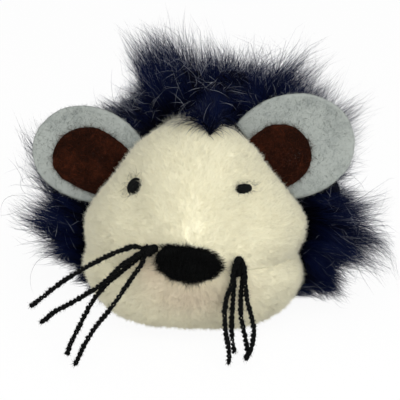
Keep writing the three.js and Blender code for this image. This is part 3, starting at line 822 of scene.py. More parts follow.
def chin_grid():
    """The chin, and the belly as far back as its seam with the fur."""
    rows, columns = CHIN_GRID
    around = np.linspace(math.pi + MOUTH_ANGLE + SEAM_GAP, 2 * math.pi - MOUTH_ANGLE - SEAM_GAP, columns)
    seam = seam_along(around) - SEAM_GAP
    tries = np.linspace(math.pi / 2, math.pi * BELLY_END, 300)[:, None]
    low = skin_place(tries, around[None])[..., 2] < BELLY_SEAM_HEIGHT - BELLY_GAP
    end = np.maximum(np.max(np.where(low, tries, 0), 0), seam)
    start = MUZZLE_START * seam
    share = np.linspace(0, 1, rows)[:, None]
    return start + (end - start) * share, np.broadcast_to(around[None], CHIN_GRID)


# Painted shade below the nose and beside it, in darker, warmer plush: middle, how much wider than high, reach
# and strength
NOSE_SHADES = (((1, 23), 1.6, 9, 0.62), ((-11, 33), 1, 6, 0.5))
NOSE_SHADE_DEPTH = 10


def blush_at(place):
    """Where the plush is painted darker and warmer as shade below and beside the nose."""
    front = ramp(-place[..., 1] / NOSE_SHADE_DEPTH)
    blush = 0
    for (x, z), wide, reach, strength in NOSE_SHADES:
        away = np.hypot((place[..., 0] - x) / wide, place[..., 2] - z)
        blush = blush + strength * (bell(away, reach) * front)
    return np.clip(blush, 0, 1)


PAD_MARGIN = 0.5


def in_sewn_pads(place):
    """Whether a place on the plush is under an eye or the nose."""
    covered = np.zeros(len(place), bool)
    pads = [(eye["spot"], eye["size"], eye["tilt"]) for eye in EYES.values()]
    for spot, (length, breadth), degrees in (*pads, (NOSE_MIDDLE, NOSE_SIZE[:2], NOSE_TILT)):
        tilt = math.radians(degrees)
        middle = face_point(*spot)
        across, up = place[:, 0] - middle[0], place[:, 2] - middle[2]
        along = across * math.cos(tilt) + up * math.sin(tilt)
        over = up * math.cos(tilt) - across * math.sin(tilt)
        covered |= np.hypot(along / (length / 2 + PAD_MARGIN), over / (breadth / 2 + PAD_MARGIN)) < 1
    return covered & (place[:, 1] < 0)


# Plush that stands up at the top of the forehead, on both sides of its notch: middle, reach and strength
CRESTS = ((-6, 4.5, 1.2), (12, 3, 0.6))
CREST_LIE = np.array([0, 0.1, 0.5])
CREST_START = 7
CREST_EASE = 6
CREST_LOW = 55
CREST_CLIMB = 8


def crest_at(place):
    """How far the plush at a place belongs to the crests."""
    edge = ramp((behind_seam(place) + CREST_START) / CREST_EASE)
    edge = edge * ramp((place[:, 2] - CREST_LOW) / CREST_CLIMB)
    standing = sum(strength * bell(place[:, 0] - middle, reach) for middle, reach, strength in CRESTS)
    return edge * np.clip(standing, 0, 1)


# Streaks of brushed plush: their spacing round the nose, and how far they are drawn out and wander
BRUSH_ROUND = 24
BRUSH_OUT = 0.4
BRUSH_WANDER = 0.8


def brushed(place):
    """Places by the way round the nose and the way out from it, drawn together along the way out."""
    across, up = place[:, 0] - NOSE_MIDDLE[0], place[:, 2] - NOSE_MIDDLE[1]
    turn, out = np.arctan2(up, across), np.hypot(across, up)
    drawn = np.stack([BRUSH_ROUND * turn, BRUSH_OUT * out, BRUSH_OUT * place[:, 1]], -1)
    return drawn + BRUSH_WANDER * swirl(place, 4)


def plush_panel(name, node, grid, material):
    """A stuffed panel. Returns the points and triangles of its outside, and the way back from the nose."""
    place, normal, way = skin_frame(*grid)
    swell = face_swell(place)[..., None]
    outer = place + normal * swell
    outer[..., 2] = np.maximum(outer[..., 2], 0)
    inner = place - normal * np.maximum(CLOTH_DEPTH, 0.3 - swell)
    inner[..., 2] = np.maximum(inner[..., 2], CLOTH_DEPTH)
    points, faces = shell(outer, inner)
    piece = new_piece(f"{name}_plush", points, faces, material)
    count = len(points)
    # The share of painted shade below and beside the nose is kept on each point
    keep_values(piece, along=np.full(count, 0.7), tone=np.full(count, 0.5), blush=blush_at(points))
    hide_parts(node)
    return outer.reshape(-1, 3), grid_faces(*outer.shape[:2]), way.reshape(-1, 3)


# Few tufts stand where the plush rests on the ground, below a height, and fewer behind the face
GROUND_HEIGHT = 2.2
GROUND_SHARE = 0.02
HIDDEN_START = 6
HIDDEN_SHARE = 0.35
LOWEST_TIP = 0.12
# How far the tufts lean back from the nose and out to the sides
PLUSH_LEAN = 1.1
PLUSH_PARTING = 0.5
PLUSH_PARTING_REACH = 9
# The share of thick tufts, and how much thicker and longer they are
THICK_SHARE = 0.16
THICK_WIDTH = 1.6
THICK_LENGTH = 1.25
# How many tufts draw together in a clump and in a brushed streak
CLUMP_TUFTS = 9
STREAK_TUFTS = 60


def plush_pile(name, skin, count, settings, material, rng):
    """Short tufts that lean back from the nose and draw together in clumps and streaks."""
    points, faces, way = skin
    front = points[faces].mean(1)
    weight = np.where(front[:, 2] < GROUND_HEIGHT, GROUND_SHARE, 1)
    weight = weight * np.where(front[:, 1] > HIDDEN_START, HIDDEN_SHARE, 1)
    roots, up, which = scattered(points, faces, count, rng, weight)
    lie = unit(way[faces[which, 0]]) * PLUSH_LEAN
    lie[:, 0] += PLUSH_PARTING * np.tanh(roots[:, 0] / PLUSH_PARTING_REACH)
    kept = ~in_sewn_pads(roots)
    roots, up, lie = roots[kept], up[kept], lie[kept]
    count = len(roots)
    crest = crest_at(roots)[:, None]
    lie = lie * (1 - 0.8 * crest) + CREST_LIE * crest
    pile = settings.pile / MM * (1 + 1.5 * crest)
    thick = rng.random((count, 1)) < THICK_SHARE
    clumps = rng.choice(count, count // CLUMP_TUFTS, replace=False)
    clump = nearest(roots, roots[clumps])
    streaks = rng.choice(count, count // STREAK_TUFTS, replace=False)
    streak = nearest(brushed(roots), brushed(roots[streaks]))
    lie = lie + rng.normal(0, 0.32, (len(clumps), 3))[clump] + 0.35 * swirl(roots, 6)
    lie = lie + rng.normal(0, 0.3, (len(streaks), 3))[streak]
    width = settings.fibre / MM * np.where(thick, THICK_WIDTH, 1.0)
    length = pile * np.where(thick, THICK_LENGTH, 1.0)
    paths, radii = fuzz(roots, up, lie, length, width, rng, loose=0.28)
    paths[..., 2] = np.maximum(paths[..., 2], LOWEST_TIP)
    tone = rng.normal(0.5, 0.16, count) + rng.normal(0, 0.18, len(clumps))[clump]
    tone = tone + rng.normal(0, 0.16, len(streaks))[streak]
    tone = np.clip(tone + 0.15 * thick[:, 0] * rng.choice([-1, 1], count), 0, 1)
    up = unit(up + rng.normal(0, 0.12, (len(clumps), 3))[clump] + rng.normal(0, 0.12, up.shape))
    half = np.argsort(roots[:, 0], kind="stable")
    for side, chosen in (("left", half[:count // 2]), ("right", half[count // 2:])):
        # Each tuft also keeps its share of painted shade below and beside the nose
        hair_piece(f"{name}_pile_{side}", paths[chosen], radii[chosen], tone[chosen], material, "cream_plush",
                   facing=up[chosen], blush=blush_at(roots[chosen]))


def make_plush(settings):
    """The face, the chin and the belly."""
    material = plush_material(settings)
    rng = np.random.default_rng(11)
    for name, grid, part in (("face", face_grid(), 0.62), ("chin_belly", chin_grid(), 0.38)):
        skin = plush_panel(name, f"{name}_panel", grid, material)
        plush_pile(name, skin, int(share_of(settings.count) * part), settings, material, rng)


# Fur

# How long the fur stands at each angle round the body, in degrees from +X by way of the crown
FUR_REACH = [
    (-100, 0.4), (-60, 0.35), (-42, 0.2), (-36, 0.3), (-31, 0.66), (-27, 0.98), (-22, 0.85), (-17, 0.88),
    (-12, 0.95), (-7, 1.25), (-3, 1.6), (1, 1.3), (5, 0.92), (15, 0.8), (20, 1.1), (27, 1.3), (36, 1.5),
    (41, 1.2), (50, 1.36), (57, 1.36), (61, 1.1), (64, 1.3), (67, 2.0), (70, 1.2), (74, 0.95), (79, 1.1),
    (83, 0.95), (86, 0.64), (89, 0.85), (91.5, 1.65), (94, 1.15), (99, 1.26), (103, 1.34), (106, 0.95),
    (109, 0.62), (116, 0.5), (122, 0.74), (134, 0.74), (145, 0.5), (158, 0.36), (166, 0.5), (171, 1.5),
    (175, 1.7), (180, 0.8), (185, 1.05), (191, 1.45), (196, 0.95), (201, 0.9), (206, 0.45), (215, 0.35),
    (260, 0.4),
]
# How long it stands at the rear
REAR_REACH = 1.08
REAR_START = 24
REAR_RISE = 22
# The lines of equal angle rise towards the face by this share of their way
FUR_SLANT = 0.4
# Angles of the tufts that the fur gathers into behind the face
FUR_TUFTS = (-42, -30, -9, 5, 21, 34, 46, 56, 67, 79, 92, 101, 122, 136, 156, 175, 189, 200, 212, 230)
# How far the fur reaches: to the sides, to the rear and up
FUR_LIMITS = {0: 71, 1: 84, 2: 100}
FUR_EASE = 12


def within_reach(paths):
    """Hairs eased back from the furthest that the fur reaches, so that none ends in a flat cut."""
    paths = paths.copy()
    for axis, limit in FUR_LIMITS.items():
        size = np.abs(paths[..., axis])
        over = np.maximum(size - (limit - FUR_EASE), 0)
        eased = FUR_EASE * np.tanh(over / FUR_EASE)
        paths[..., axis] -= np.sign(paths[..., axis]) * (over - eased)
    return paths


# The rows end at the belly seam, whose place depends on theirs, so both are worked out in turn
COAT_PASSES = 4
# The rows lie closer together towards the face
COAT_SPREAD = 1.15


def coat_grid(side):
    """Half of the back, from the crown down one side to the belly seam and from the face seam to the tail."""
    t = np.linspace(0, 1, COAT_GRID[1])[None]
    s = np.linspace(0, 1, COAT_GRID[0])[:, None]
    tries = np.linspace(math.pi, 1.5 * math.pi - 0.004, 240)
    along = math.pi / 2 + 0.02 + (math.pi / 2 - 0.06) * np.broadcast_to(s, COAT_GRID)
    for _ in range(COAT_PASSES):
        high = skin_place(along[:, -1:], tries[None])[..., 2] > BELLY_SEAM_HEIGHT + BELLY_GAP
        low_end = np.max(np.where(high, tries[None], math.pi), 1)[:, None]
        around = math.pi / 2 - COAT_OVERLAP + (low_end - math.pi / 2 + COAT_OVERLAP) * t
        seam = seam_along(around) + SEAM_GAP
        if side == "right":
            seam = seam - notch_depth(math.pi - around)
        along = seam + (math.pi - TAIL_GAP - seam) * s**COAT_SPREAD
    return along, around if side == "left" else math.pi - around


def pile_depth(place):
    """How deep the fur of the solids is over a place on the skin."""
    behind = behind_seam(place)
    high = PILE_DEPTH + (PILE_REAR - PILE_DEPTH) * ramp((behind - PILE_FALL_START) / PILE_FALL)
    climb = ramp((place[..., 2] - BELLY_SEAM_HEIGHT) / PILE_CLIMB)
    depth = (PILE_LOW + (high - PILE_LOW) * climb) * ramp(behind / PILE_RISE)
    return depth * (1 - PARTING_DEPTH * parting_at(place))


def parting_at(place):
    """How far a place on the back lies in the parting between the two halves of the fur."""
    lengthwise = ramp((behind_seam(place) - PARTING_START) / PARTING_RISE)
    lengthwise = lengthwise * ramp((place[..., 2] - PARTING_LOW) / PARTING_CLIMB)
    return bell(place[..., 0], PARTING_WIDTH) * lengthwise


def swirl(place, size):
    """Smooth wandering vectors, about size millimetres from one bend to the next."""
    p = place / size
    x, y, z = p[..., 0], p[..., 1], p[..., 2]
    return np.stack([
        np.sin(1.7 * y + 1.1 * z + 0.4) + np.sin(2.9 * z - 1.3 * x + 2.0),
        np.sin(1.5 * z + 1.2 * x + 1.1) + np.sin(2.6 * x - 1.1 * y + 0.7),
        np.sin(1.9 * x + 0.9 * y + 2.6) + np.sin(2.3 * y - 1.6 * z + 1.9),
    ], -1) / 2


EAR_LEAN = math.radians(6)


def ear_space(side):
    """An ear's own axes: along its sewn root, out of the seam and to the front, and its root's middle."""
    joint = JOINTS[f"ear_{side}_fold"]
    sewn = unit(np.array(joint["axis"], float))
    front = unit(np.array([0, -1, FACE_SEAM_LEAN / HALF_HEIGHT]))
    out = unit(np.cross(front, sewn))
    leaning = unit(math.cos(EAR_LEAN) * out - math.sin(EAR_LEAN) * np.cross(sewn, out))
    return np.stack([sewn, leaning, np.cross(sewn, leaning)]), np.array(joint["pos_m"]) / MM


# The room kept behind an ear: a gap, the slope to which it folds, and how far the room goes
EAR_GAP = 1.7
EAR_SLOPE = math.tan(math.radians(26.0))
EAR_ROOM_HALF = 16
EAR_ROOM_EASE = 4
EAR_ROOM_LOW = -3
EAR_ROOM_HIGH = 42


def cleared_of_ears(paths):
    """Fur paths laid back behind the ears, as far as the ears can fold."""
    for side in ("left", "right"):
        axes, root = ear_space(side)
        local = (paths - root) @ axes.T
        x, y, z = local[..., 0], local[..., 1], local[..., 2]
        near = 1 - ramp((np.abs(x) - EAR_ROOM_HALF) / EAR_ROOM_EASE)
        limit = -EAR_GAP - np.maximum(y, 0) * EAR_SLOPE
        over = np.maximum(z - limit, 0) * near * (y > EAR_ROOM_LOW) * (y < EAR_ROOM_HIGH)
        local[..., 2] = z - over
        paths = local @ axes + root
    return paths


def girth_angle(place):
    """The angle round the body, in degrees from +X by way of the crown."""
    angle = np.degrees(np.arctan2(place[..., 2] - AXIS_HEIGHT + FUR_SLANT * place[..., 1], place[..., 0]))
    return np.where(angle < FUR_REACH[0][0], angle + 360, angle)


def rear_share(place):
    """How far a place lies towards the rear, from 0 at the face to 1."""
    return ramp((behind_seam(place) - REAR_START) / REAR_RISE)


def fur_reach(place):
    """How long the fur stands: by its angle round the body near the face, and even at the rear."""
    rear = rear_share(place)
    return np.interp(girth_angle(place), *zip(*FUR_REACH)) * (1 - rear) + REAR_REACH * rear


def toward_tuft(place):
    """From each place, how far round the body the middle of its tuft lies."""
    middles = np.array(FUR_TUFTS) + 3 * np.sin(0.35 * place[:, 1:2] + np.arange(len(FUR_TUFTS)))
    angle = girth_angle(place)
    from_middle = middles - angle[:, None]
    turn = np.radians(np.take_along_axis(from_middle, np.abs(from_middle).argmin(1)[:, None], 1)[:, 0])
    size = turn * np.hypot(place[:, 0], place[:, 2] - AXIS_HEIGHT)
    angle = np.radians(angle)
    return size[:, None] * np.stack([-np.sin(angle), np.zeros(len(angle)), np.cos(angle)], -1)


def nearest(places, others):
    """The number of the nearest of others to each place."""
    tree = KDTree(len(others))
    for number, place in enumerate(others):
        tree.insert(place, number)
    tree.balance()
    return np.array([tree.find(place)[1] for place in places])


# The undercoat's share of the fur's depth, what it gains at the rear and how far it wanders
COAT_SHARE = 0.6
COAT_REAR = 0.16
COAT_WAVE = 0.12


def fur_coats(settings):
    """The undercoat of both halves. Returns the skin below them as points and triangles."""
    wool = undercoat_material(settings)
    halves = []
    for side in ("left", "right"):
        place, normal, _ = skin_frame(*coat_grid(side))
        dense = COAT_SHARE + COAT_REAR * rear_share(place) + COAT_WAVE * swirl(place, 5)[..., 0]
        depth = pile_depth(place) * dense * np.clip(fur_reach(place), 0.3, 1)
        outer = cleared_of_ears(place + normal * (0.3 + depth)[..., None])
        inner = place - normal * CLOTH_DEPTH
        inner[..., 2] = np.maximum(inner[..., 2], CLOTH_DEPTH)
        points, faces = shell(outer, inner)
        skin_faces = grid_faces(*COAT_GRID)
        if side == "right":
            faces, skin_faces = faces[:, ::-1], skin_faces[:, ::-1]
        coat = new_piece(f"fur_coat_{side}", points, faces, wool)
        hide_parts(f"fur_panel_{side}")
        halves.append((place.reshape(-1, 3), skin_faces))
    return joined(*halves)


# Which way the fur grows, as shares added to the skin's normal
COARSE_SWIRL = 0.34
FINE_SWIRL = 0.12
PARTING_LEAN = 0.3
CROWN_LEAN = 0.16
BACK_LEAN = 0.1
REAR_SWEEP = 0.5
REAR_DROOP = 0.4
LEFT_RISE = 0.3
LOW_DROOP = 0.3
# Where it lies low, is part of the crown or is on the left flank
LOW_TOP = 30
LOW_FALL = 22
CROWN_HALF = 6
CROWN_START = 50
CROWN_RISE = 18
LEFT_START = -20
LEFT_EASE = 15
# It lengthens over this way on both sides of the seam, and stands shorter low at the rear
SEAM_EASE = 9
LOW_REAR_CUT = 0.45


def fur_way(place, normal, wander, rng):
    """How long the fur stands at each place, as a share of the usual length, and which way it grows."""
    behind = behind_seam(place)
    rear = rear_share(place)
    near = 0.5 + 0.28 * ramp((behind + SEAM_EASE) / SEAM_EASE) + 0.22 * ramp(behind / SEAM_EASE)
    low = ramp((LOW_TOP - place[:, 2]) / LOW_FALL)
    crown = np.tanh((place[:, 0] - NOTCH_OFFSET) / CROWN_HALF)
    left = ramp((LEFT_START - place[:, 0]) / LEFT_EASE)
    way = normal + COARSE_SWIRL * swirl(place, 9) + FINE_SWIRL * swirl(place, 3.1)
    way = way + rng.normal(0, wander, place.shape)
    way[:, 0] += np.sign(place[:, 0]) * PARTING_LEAN * parting_at(place)
    way[:, 0] += CROWN_LEAN * crown * ramp((place[:, 2] - CROWN_START) / CROWN_RISE) * (1 - rear)
    way[:, 1] += BACK_LEAN + REAR_SWEEP * rear
    way[:, 2] += LEFT_RISE * left - LOW_DROOP * low * (1 - rear) - REAR_DROOP * rear
    return fur_reach(place) * near * (1 - LOW_REAR_CUT * low * rear), unit(way)


# Places along a lock, and how thick it is at each but its tip
LOCK_STEPS = np.array([0, 0.22, 0.48, 0.76, 1.0])[None, :, None]
LOCK_TAPER = np.array([[1.0, 0.9, 0.62, 0.34]])
LOCK_WANDER = 0.12
WISP_WANDER = 0.16
# How far wisps are drawn into tufts
TUFT_PULL = 0.6
# The share of silvered locks near the face, what it gains behind, and how far it wanders
SILVER_FRONT = 0.035
SILVER_BACK = 0.6
SILVER_WAVE = 0.08
SILVER_START = 7
SILVER_RISE = 14
# Silvered locks near the face lean over it by this much, as far back as this
SILVER_FORWARD = 1.6
SILVER_FORWARD_END = 12
# Fewer locks stand behind this place
THIN_START = 35
THIN_SHARE = 0.8
# Roots lie below the skin, and tips keep clear of the ground
ROOT_SINK = 0.6
ROOT_CLEAR = 0.4
TIP_CLEAR = 2.0
FUR_ZONES = ("front", "flank", "back", "rear")


def wisp_paths(roots, reach, way, tufts, usual, rng):
    """Wisps that are drawn into the nearest of the tufts, and into those behind the face."""
    steps = LOCK_STEPS
    length = usual * reach * rng.uniform(0.86, 1.16, len(reach))
    sweep = 0.22 * rng.normal(0, 1, roots.shape) + 0.2 * swirl(roots, 6)
    wisps = way[:, None] * steps + sweep[:, None] * steps**2
    wisps = roots[:, None] + wisps * length[:, None, None]
    wisps = wisps + (tufts[nearest(roots, tufts[:, 0])] - wisps) * TUFT_PULL * steps**1.4
    return wisps + toward_tuft(roots)[:, None] * TUFT_PULL * steps**1.3


def fur_locks(settings, material, points, faces, rng):
    """Locks that gather into wisps, which gather into tufts."""
    count = share_of(settings.count)
    weight = np.where(points[faces].mean(1)[:, 1] > THIN_START, THIN_SHARE, 1.0)
    roots, normals, _ = scattered(points, faces, count, rng, weight)
    wisp_roots, wisp_normals, _ = scattered(points, faces, settings.clumps, rng)
    tuft_roots, tuft_normals, _ = scattered(points, faces, settings.tufts, rng)
    wisp_reach, wisp_way = fur_way(wisp_roots, wisp_normals, WISP_WANDER, rng)
    reach, way = fur_way(roots, normals, LOCK_WANDER, rng)
    tuft_reach, tuft_way = fur_way(tuft_roots, tuft_normals, WISP_WANDER, rng)
    usual = settings.length / MM
    steps = LOCK_STEPS
    grown = 0.68 + 0.5 * rng.random(count) ** 1.6
    length = (usual * reach * grown)[:, None, None]
    bend = 0.22 * rng.normal(0, 1, (count, 1, 3)) + 0.3 * swirl(roots, 7)[:, None]
    paths = roots[:, None] + (way[:, None] * steps + bend * steps**2 * 0.5) * length
    tufts = tuft_roots[:, None] + tuft_way[:, None] * steps * (usual * tuft_reach * 1.1)[:, None, None]
    wisps = wisp_paths(wisp_roots, wisp_reach, wisp_way, tufts, usual, rng)
    pull = rng.uniform(0.5, 1.0, (count, 1, 1)) * steps**1.2
    gathered = wisps[nearest(roots, wisp_roots)]
    gathered = gathered[:, :1] + (gathered - gathered[:, :1]) * np.minimum(grown, 1.1)[:, None, None]
    paths = paths + (gathered - paths) * pull
    behind = behind_seam(roots)
    share = SILVER_FRONT + SILVER_BACK * ramp((behind - SILVER_START) / SILVER_RISE)
    silver = rng.random(count) < share + SILVER_WAVE * swirl(roots, 7)[:, 0]
    frizz = rng.normal(0, 1, (count, 1, 3)) * np.where(silver, 0.12, 0.07)[:, None, None] * length
    paths = paths + frizz * np.sin(4.5 * steps + rng.uniform(0, 6, (count, 1, 1))) * steps
    forward = np.where(silver & (behind < SILVER_FORWARD_END), SILVER_FORWARD, 0.0)
    paths[..., 1] -= forward[:, None] * steps[..., 0]
    paths = within_reach(cleared_of_ears(paths))
    paths[..., 2] = np.maximum(paths[..., 2], ROOT_CLEAR + TIP_CLEAR * steps[..., 0])
    paths[:, 0] -= normals * ROOT_SINK
    tone = np.where(silver, rng.uniform(0.35, 1, count), rng.uniform(0, 0.2, count))
    width = settings.fibre / MM / 2 * rng.uniform(0.6, 1.15, (count, 1))
    radii = width * np.where(silver, 0.62, 1.0)[:, None] * LOCK_TAPER
    for side, on_side in (("left", roots[:, 0] < 0), ("right", roots[:, 0] >= 0)):
        backward = np.flatnonzero(on_side)[np.argsort(behind[on_side], kind="stable")]
        for zone, chosen in zip(FUR_ZONES, np.array_split(backward, len(FUR_ZONES))):
            name = f"fur_{zone}_{side}"
            piece = hair_piece(name, paths[chosen], radii[chosen], tone[chosen], material, "navy_fur")
            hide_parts(f"fur_panel_{side}")


# Loose hairs, in millimetres: where they start over the skin, how long they are and how thick
STRAY_START = (3, 15)
STRAY_LENGTH = (8, 19)
STRAY_TURN = (0.5, 2.2)
STRAY_RADIUS = 0.055
STRAY_FORWARD = np.array([0, 2.2, 0])
# Most lie round this angle of the girth, and fewest to the right of the notch
STRAY_ANGLE = 108
STRAY_GAP = 12


def stray_hairs(settings, material, points, faces, rng):
    """Loose pale hairs that curl over the front of the fur and round its outline."""
    count = share_of(settings.strays)
    fronts = points[faces].mean(1)
    weight = np.where(behind_seam(fronts) < 9, 2.2, 0.5) * ramp((fronts[:, 2] - 24) / 12)
    weight = weight * (1 - 0.75 * bell(fronts[:, 0] - STRAY_GAP, 9))
    weight = weight * (1 + 1.5 * bell(girth_angle(fronts) - STRAY_ANGLE, 14))
    roots, normals, _ = scattered(points, faces, count, rng, weight)
    steps = np.linspace(0, 1, 9)[None, :, None]
    start = rng.uniform(*STRAY_START, (count, 1, 1)) * fur_reach(roots)[:, None, None]
    size = rng.uniform(*STRAY_LENGTH, (count, 1, 1))
    turn = rng.uniform(*STRAY_TURN, (count, 1, 1))
    way = unit(rng.normal(0, 1, (count, 3)) * np.array([1, 0.25, 1]) + normals * 1.1)[:, None]
    axis = rng.normal(0, 0.35, (count, 3))
    axis = axis + rng.choice([-1, 1], (count, 1)) * np.array([0, 1, 0])
    side = unit(np.cross(way[:, 0], axis))
    arc = np.sin(turn * steps) * way + (1 - np.cos(turn * steps)) * side[:, None]
    paths = roots[:, None] + normals[:, None] * start - STRAY_FORWARD + size / turn * arc
    paths = within_reach(cleared_of_ears(paths))
    radii = np.full((count, 8), STRAY_RADIUS) * np.linspace(1, 0.55, 8)[None]
    hair_piece("fur_strays", paths, radii, rng.uniform(0.6, 1.0, count), material, "navy_fur")


# Hairs that stand in the notch, and hairs that curl from it over the plush
FORELOCK_HAIRS = 1300
FORELOCK_CURLS = 90


def forelock(material, rng):
    """Dark hairs that fill the notch in the forehead, and a few that curl down over the plush."""
    count = share_of(FORELOCK_HAIRS)
    around = math.pi / 2 - (NOTCH_OFFSET + rng.normal(0, 1.6, count)) / HALF_WIDTH
    along = seam_along(around) - notch_depth(around) * rng.random(count)
    roots, normals, _ = skin_frame(along, around)
    steps = np.linspace(0, 1, 6)[None, :, None]
    size = rng.uniform(3, 7, (count, 1, 1))
    way = unit(normals * 0.7 + np.array([0, -0.35, 0.2]) + rng.normal(0, 0.4, (count, 3)))[:, None]
    curl = rng.normal(0, 0.4, (count, 1, 3))
    upright = roots[:, None] - normals[:, None] * 0.5 + (way * steps + curl * steps**2) * size
    hairs = share_of(FORELOCK_CURLS)
    turn = math.pi / 2 - (NOTCH_OFFSET + rng.normal(0, 2.5, (hairs, 1))) / HALF_WIDTH
    share = steps[..., 0]
    aside = rng.choice([1, 1, 1, -1], (hairs, 1)) * rng.uniform(0.08, 0.42, (hairs, 1))
    down = rng.uniform(0.06, 0.4, (hairs, 1)) + rng.uniform(-0.12, 0.18, (hairs, 1)) * share**2
    place, up, _ = skin_frame(seam_along(turn) - down, turn + aside * share)
    lift = 2.2 + rng.uniform(0, 2.2, (hairs, 1)) * np.sin(math.pi * share)
    curled = place + up * (lift + np.maximum(face_swell(place), 0))[..., None]
    paths = np.concatenate([upright, curled])
    radii = np.repeat(rng.uniform(0.07, 0.13, (len(paths), 1)), 5, 1) * np.linspace(1, 0.5, 5)[None]
    hair_piece("fur_forelock", paths, radii, rng.uniform(0, 0.3, len(paths)), material, "navy_fur")


def make_fur(settings):
    """The fur of the back, its loose hairs and its forelock."""
    material = fur_material(settings)
    rng = np.random.default_rng(23)
    skin = fur_coats(settings)
    fur_locks(settings, material, *skin, rng)
    stray_hairs(settings, material, *skin, rng)
    forelock(material, rng)


# Ears

EAR_SHAPES = {
    "left": {"width": 33.4, "length": 30, "base": 28, "widest": 11.5, "shift": -0.4, "droop": -0.13},
    "right": {"width": 36.4, "length": 30.8, "base": 32, "widest": 10.5, "shift": -1.8, "droop": 0.12},
}
LINING_SHAPES = {
    "left": {"width": 22, "length": 22.2, "base": 18.4, "widest": 11.5, "shift": -1, "droop": -0.16},
    "right": {"width": 21.2, "length": 16.2, "base": 20, "widest": 6, "shift": -1, "droop": 0.02},
}
FELT_TUCK = 1.5
LINING_TUCK = 2.0
LINING_GAP = 0.05
EAR_CUP = 4
EAR_WAVE = 0.5
# A soft fold up each ear: its depth, its middle, how far it reaches and over what height it rises
EAR_FOLDS = {"left": (0.9, -2, 7, 14), "right": (1.6, 4, 5, 12)}
EAR_PHASES = {"left": 0.6, "right": 2.4}
# The rings of a plate as shares of the way to its rim, and the share at which the rim begins to round off
FELT_RINGS = np.concatenate([np.linspace(0.08, 0.9, 14), [0.955, 0.985, 1.0]])
RIM_START = 0.94
RIM_CURVE = 0.0037


def ear_outline(width, length, base, widest, shift, droop, sides):
    """Two half ovals that meet at the widest place, cut off straight at the root and leaning along it."""
    cut = math.sqrt(1 - (base / width) ** 2)
    turn = np.linspace(-math.asin(cut), math.pi + math.asin(cut), sides)
    tall = np.where(np.sin(turn) > 0, length - widest, widest / cut)
    out = widest + tall * np.sin(turn)
    return np.stack([shift + np.cos(turn) * width / 2 + droop * out, out], -1)


def ear_curl(side, x, y):
    """How far forward the felt stands: cupped at the rim, with soft waves and a fold."""
    shape = EAR_SHAPES[side]
    up = np.maximum(y, 0) / shape["length"]
    cup = EAR_CUP * (2 * (x - shape["droop"] * y) / shape["width"]) ** 2 * up
    phase = EAR_PHASES[side]
    wave = EAR_WAVE * np.sin(0.19 * x + phase) * np.sin(0.16 * y + phase) * up
    depth, middle, reach, rise = EAR_FOLDS[side]
    return cup + wave - depth * bell(x - middle, reach) * ramp(y / rise)


def felt_plate(side, outline, start, back, front, rough, rng):
    """A felt plate with a rounded, hand-cut rim, in an ear's own axes."""
    sides = len(outline)
    ragged = np.convolve(np.tile(rng.normal(0, rough, sides), 3), np.ones(5) / 5, "same")[sides:2 * sides]
    middle = outline.mean(0)
    cut = middle + (outline - middle) * (1 + ragged[:, None] / 15)
    half = (front - back) / 2
    rows = []
    for share, face in [(s, 1) for s in FELT_RINGS] + [(s, -1) for s in FELT_RINGS[::-1]]:
        flat = middle + (cut - middle) * share
        round_off = half * math.sqrt(max(1 - max(share - RIM_START, 0) ** 2 / RIM_CURVE, 0.0))
        depth = (front + back) / 2 + face * round_off
        height = ear_curl(side, flat[:, 0], flat[:, 1] + start) + depth
        rows.append(np.stack([flat[:, 0], flat[:, 1] + start, height], -1))
    x, y = middle[0], middle[1] + start
    ends = [(x, y, ear_curl(side, x, y) + depth) for depth in (front, back)]
    return closed_rows(rows, ends)


def nap(name, points, faces, material, slot, body, rng, count, length):
    """Loose fibres that lie on felt and stand at its cut edge."""
    places, normals, _ = scattered(points, faces, share_of(count), rng)
    lie = unit(np.cross(normals, rng.normal(0, 1, places.shape))) * 1.6
    paths, radii = fuzz(places, normals, lie, length, 0.1, rng, 3, loose=0.2)
    hair_piece(name, paths, radii, rng.random(len(places)) ** 2.5, material, slot, body)


def felt_piece(side, part, outline, start, back, front, rough, material, slot, fibres, rng):
    """One cut felt with its nap. Returns it with its flat size and its area."""
    axes, root = ear_space(side)
    node = f"ear_{side}_{part}"
    local, faces = felt_plate(side, outline, start, back, front, rough, rng)
    points = local @ axes + root
    piece = new_piece(f"{node}_sheet", points, faces, material, f"ear_{side}")
    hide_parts(node)
    nap(f"{node}_nap", points, faces, material, slot, f"ear_{side}", rng, *fibres)
    span = outline.max(0) - outline.min(0)
    x, y = outline[:, 0], outline[:, 1]
    area = 0.5 * abs(np.sum(x * np.roll(y, -1) - y * np.roll(x, -1)))
    return piece, (span[0] * MM, span[1] * MM), area * MM * MM


def make_ears(settings):
    """The felt ears and their linings."""
    grey = felt_material("grey_felt", tuple(settings.grey), tuple(settings.fleck), 1.0, 0.1)
    brown = felt_material("brown_felt", tuple(settings.brown), tuple(settings.rust), 0.22, 0.02)
    rng = np.random.default_rng(37)
    half = settings.thickness / MM / 2
    back = half + LINING_GAP
    front = back + settings.lining / MM
    for side in ("left", "right"):
        outline = ear_outline(**EAR_SHAPES[side], sides=120)
        felt, felt_size, felt_area = felt_piece(
            side, "felt", outline, -FELT_TUCK, -half, half, 0.12, grey, "grey_felt", (3600, 1.3), rng)
        outline = ear_outline(**LINING_SHAPES[side], sides=96)
        lining, lining_size, lining_area = felt_piece(
            side, "lining", outline, -LINING_TUCK, back, front, 0.3, brown, "brown_felt", (2400, 2.8), rng)


# Eyes and nose

# How far a pad's underside lies in the plush, and the least height of its edge as a share of its own
PAD_SINK = -0.6
PAD_EDGE = 0.12
DOME_POWER = 2.4
# Threads run a little over the edge of their pad, and their ends go down into the plush
THREAD_OVER = 1.06
THREAD_END = 0.98


def oval_edge(turn, length, breadth, degrees, pinch=0.0):
    """The rim of a tilted oval, drawn in towards its ends by pinch."""
    tilt = math.radians(degrees)
    across = np.cos(turn) * length / 2
    up = np.sin(turn) * np.abs(np.sin(turn)) ** pinch * breadth / 2
    return across * math.cos(tilt) - up * math.sin(tilt), across * math.sin(tilt) + up * math.cos(tilt)


